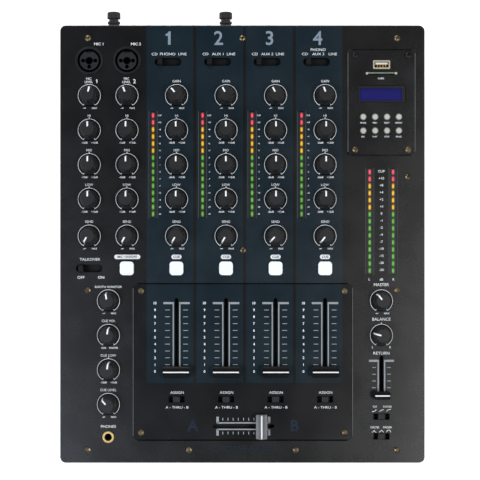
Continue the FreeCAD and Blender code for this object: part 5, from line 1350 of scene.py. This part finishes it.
@dataclass
class RearWall:
    """Sockets on the rear wall: coloured inserts, plated barrels and plain words.

    Attributes:
        first: x of the first block of four.
        pitch: block spacing.
        count: number of blocks.
        height: middle of the blocks above the table.
        step: socket spacing inside a block.
        reach: barrel past the wall.
    """

    first: float = -118.0
    pitch: float = 27.0
    count: int = 6
    height: float = 45.0
    step: float = 14.0
    reach: float = 9.5

    def build(self) -> None:
        """Dresses the sockets, adds the inserts and prints the words."""
        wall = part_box("base_case")[1].y / MM
        mid = self.first + (self.count - 1) / 2 * self.pitch
        area = (self.count * self.pitch / 2 - 0.2, 40.0, 16.0)
        barrels = Patch((mid, wall + 40.0, self.height), area, "#c4c4c0", 1.0, 0.3)
        # Black nylon with a soft sheen, and nickel barrels that mirror the floor.
        dress("rear_sockets", Finish("moulded_nylon_with_nickel", "#1b1b1a", 0.45, grain=0.7, depth=0.008,
                                     patches=(barrels,)))
        self.inserts("phono_inserts_white", 1, WHITE_INSERT, wall)
        self.inserts("phono_inserts_red", -1, RED_INSERT, wall)
        words = PrintSheet("rear_legends", Face.REAR, WHITE_INK)
        for number in range(self.count):
            words.numeral(number + 1, (-(self.first + number * self.pitch), self.height - 19.0), 3.2)
        for word, x in (("OUT 1", -52.0), ("OUT 2", -84.0)):
            words.text(word, (x, self.height + 20.5), 2.6, 0.015)
        for word, x, z in (("ON", -126.0, 77.0), ("GND", 126.5, 71.0), ("GND", 26.7, 71.0)):
            words.text(word, (x, z), 2.2, 0.015)
        words.build()

    def inserts(self, name: str, side: int, finish: Finish, wall: float) -> bpy.types.Object:
        """Insulating rings in one row of sockets.

        Each is a profile of (radius, depth) turned about the socket's axis:
        (x + r cos t, wall + reach + depth, z + r sin t).

        Args:
            name: piece name.
            side: one for the upper row, minus one for the lower.
            finish: material of the rings.
            wall: y of the rear wall.

        Returns:
            The new piece.
        """
        profile = np.array([[1.75, -1.2], [3.25, -1.2], [3.35, 0.12], [3.0, 0.3], [2.1, 0.3], [1.75, 0.1]])
        turn = np.linspace(0, 2 * np.pi, 25)[:-1]
        radius, depth = profile.T
        ring = np.stack([radius[None, :] * np.cos(turn)[:, None],
                         np.broadcast_to(wall + self.reach + depth, (len(turn), len(profile))),
                         radius[None, :] * np.sin(turn)[:, None]], axis=-1).reshape(-1, 3)
        quads = tube_faces(len(turn) + 1, len(profile), False)
        wrapped = [tuple(corner % len(ring) for corner in quad)[::-1] for quad in quads]
        spots = [(self.first + block * self.pitch + offset * self.step / 2, 0.0,
                  self.height + side * self.step / 2) for block in range(self.count) for offset in (-1, 1)]
        points = (ring[None] + np.array(spots)[:, None]).reshape(-1, 3) * MM
        faces = [tuple(corner + copy * len(ring) for corner in face)
                 for copy in range(len(spots)) for face in wrapped]
        return put_mesh(name, points, faces, finish, DESK)


@dataclass
class Studio:
    """Floor, light and camera.

    Attributes:
        height: camera above the panel.
        span: width of the photograph's frame at the panel, in metres.
        aim: point of the panel at the middle of the frame.
        shift: share of the frame by which the lens is raised.
        sensor: width of the camera's sensor in millimetres.
    """

    height: float = 1.2
    span: float = 0.4212
    aim: tuple[float, float] = (-0.0021, -0.0039)
    shift: float = 0.08
    sensor: float = 36.0

    def camera(self) -> None:
        """Camera looking straight down, moved to the front by as much as its lens is shifted."""
        data = bpy.data.cameras.new("camera")
        data.sensor_width = self.sensor
        data.lens = self.sensor * self.height / self.span
        data.shift_y = self.shift
        camera = bpy.data.objects.new("camera", data)
        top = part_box("top_panel")[1].z
        camera.location = (self.aim[0], self.aim[1] - self.shift * self.span, top + self.height)
        bpy.context.scene.collection.objects.link(camera)
        bpy.context.scene.camera = camera

    def lamp(self, name: str, place: tuple[float, float, float], size: tuple[float, float], power: float,
             colour: str = "#ffffff") -> None:
        """An oblong soft lamp that faces the desk.

        Args:
            name: lamp name.
            place: its middle, in metres.
            size: level side and sloping side.
            power: watts.
            colour: sRGB hex colour of its light.
        """
        data = bpy.data.lights.new(name, "AREA")
        data.color = linear(colour)[:3]
        data.shape = "RECTANGLE"
        data.size, data.size_y = size
        data.energy = power
        lamp = bpy.data.objects.new(name, data)
        lamp.location = place
        aim = np.array([0.0, 0.0, 0.05]) - np.array(place)
        flat = math.hypot(aim[0], aim[1])
        lamp.rotation_euler = (math.atan2(flat, -aim[2]), 0.0, math.atan2(-aim[0], aim[1]))
        bpy.context.scene.collection.objects.link(lamp)

    def floor(self) -> None:
        """Pale floor: a flat grid, white to the eye and in reflections, that still takes the shadow."""
        cells = 8
        side = np.linspace(-4, 4, cells + 1)
        x, y = np.meshgrid(side, side)
        points = np.stack([x.ravel(), y.ravel(), np.zeros(x.size)], axis=1)
        row, column = np.divmod(np.arange(cells ** 2), cells)
        corner = row * (cells + 1) + column
        faces = np.stack([corner, corner + 1, corner + cells + 2, corner + cells + 1], axis=1)
        mesh = bpy.data.meshes.new("floor")
        mesh.from_pydata(points.tolist(), [], faces.tolist())
        material = bpy.data.materials.new("pale_floor")
        material.use_nodes = True
        tree = material.node_tree
        tree.nodes.clear()
        path = add_node(tree, "ShaderNodeLightPath")
        seen = path.outputs["Is Camera Ray"]
        for ray in ("Is Glossy Ray", "Is Transmission Ray"):
            seen = add_node(tree, "ShaderNodeMath", {"operation": "MAXIMUM"},
                            {0: seen, 1: path.outputs[ray]}).outputs[0]
        glow = add_node(tree, "ShaderNodeMath", {"operation": "MULTIPLY"}, {0: seen, 1: 0.72}).outputs[0]
        shader = add_node(tree, "ShaderNodeBsdfPrincipled", inputs={
            "Base Color": linear("#e6e6e6"), "Roughness": 0.9, "Specular IOR Level": 0.0,
            "Emission Color": (1.0, 1.0, 1.0, 1.0), "Emission Strength": glow})
        add_node(tree, "ShaderNodeOutputMaterial", inputs={"Surface": shader.outputs[0]})
        mesh.materials.append(material)
        floor = bpy.data.objects.new("floor", mesh)
        bpy.context.scene.collection.objects.link(floor)

    def world(self) -> None:
        """Studio dome: white at the horizon and dim overhead, so that flat black faces stay dark."""
        world = bpy.data.worlds.new("studio")
        bpy.context.scene.world = world
        world.use_nodes = True
        tree = world.node_tree
        tree.nodes.clear()
        place = add_node(tree, "ShaderNodeTexCoord").outputs["Generated"]
        up = add_node(tree, "ShaderNodeSeparateXYZ", inputs={0: place}).outputs[2]
        strength = add_node(tree, "ShaderNodeMapRange", {"interpolation_type": "SMOOTHSTEP"},
                            {0: up, 1: 0.1, 2: 0.85, 3: 1.0, 4: 0.06}).outputs[0]
        light = add_node(tree, "ShaderNodeBackground", inputs={"Color": (1.0, 1.0, 1.0, 1.0),
                                                               "Strength": strength}).outputs[0]
        add_node(tree, "ShaderNodeOutputWorld", inputs={"Surface": light})

    def build(self) -> None:
        """Sets up the view and the light."""
        bpy.context.scene.view_settings.view_transform = "Standard"
        self.camera()
        self.floor()
        self.world()
        self.lamp("key", (-0.5, 1.8, 1.5), (1.0, 1.0), 17.0)
        self.lamp("right", (0.84, -0.24, 1.9), (1.1, 0.5), 16.5)
        self.lamp("left", (-0.88, -0.4, 1.9), (1.1, 0.5), 17.5, "#e6f0ff")


def main() -> None:
    """Builds the desk's looks in order."""
    logging.basicConfig(level=logging.INFO, format="%(message)s")
    for assembly in (Studio(), Plates(), Meters(), Knobs(), Faders(), Switches(), RearWall()):
        log.info("building %s", type(assembly).__name__)
        assembly.build()


if __name__ == "__main__":
    main()
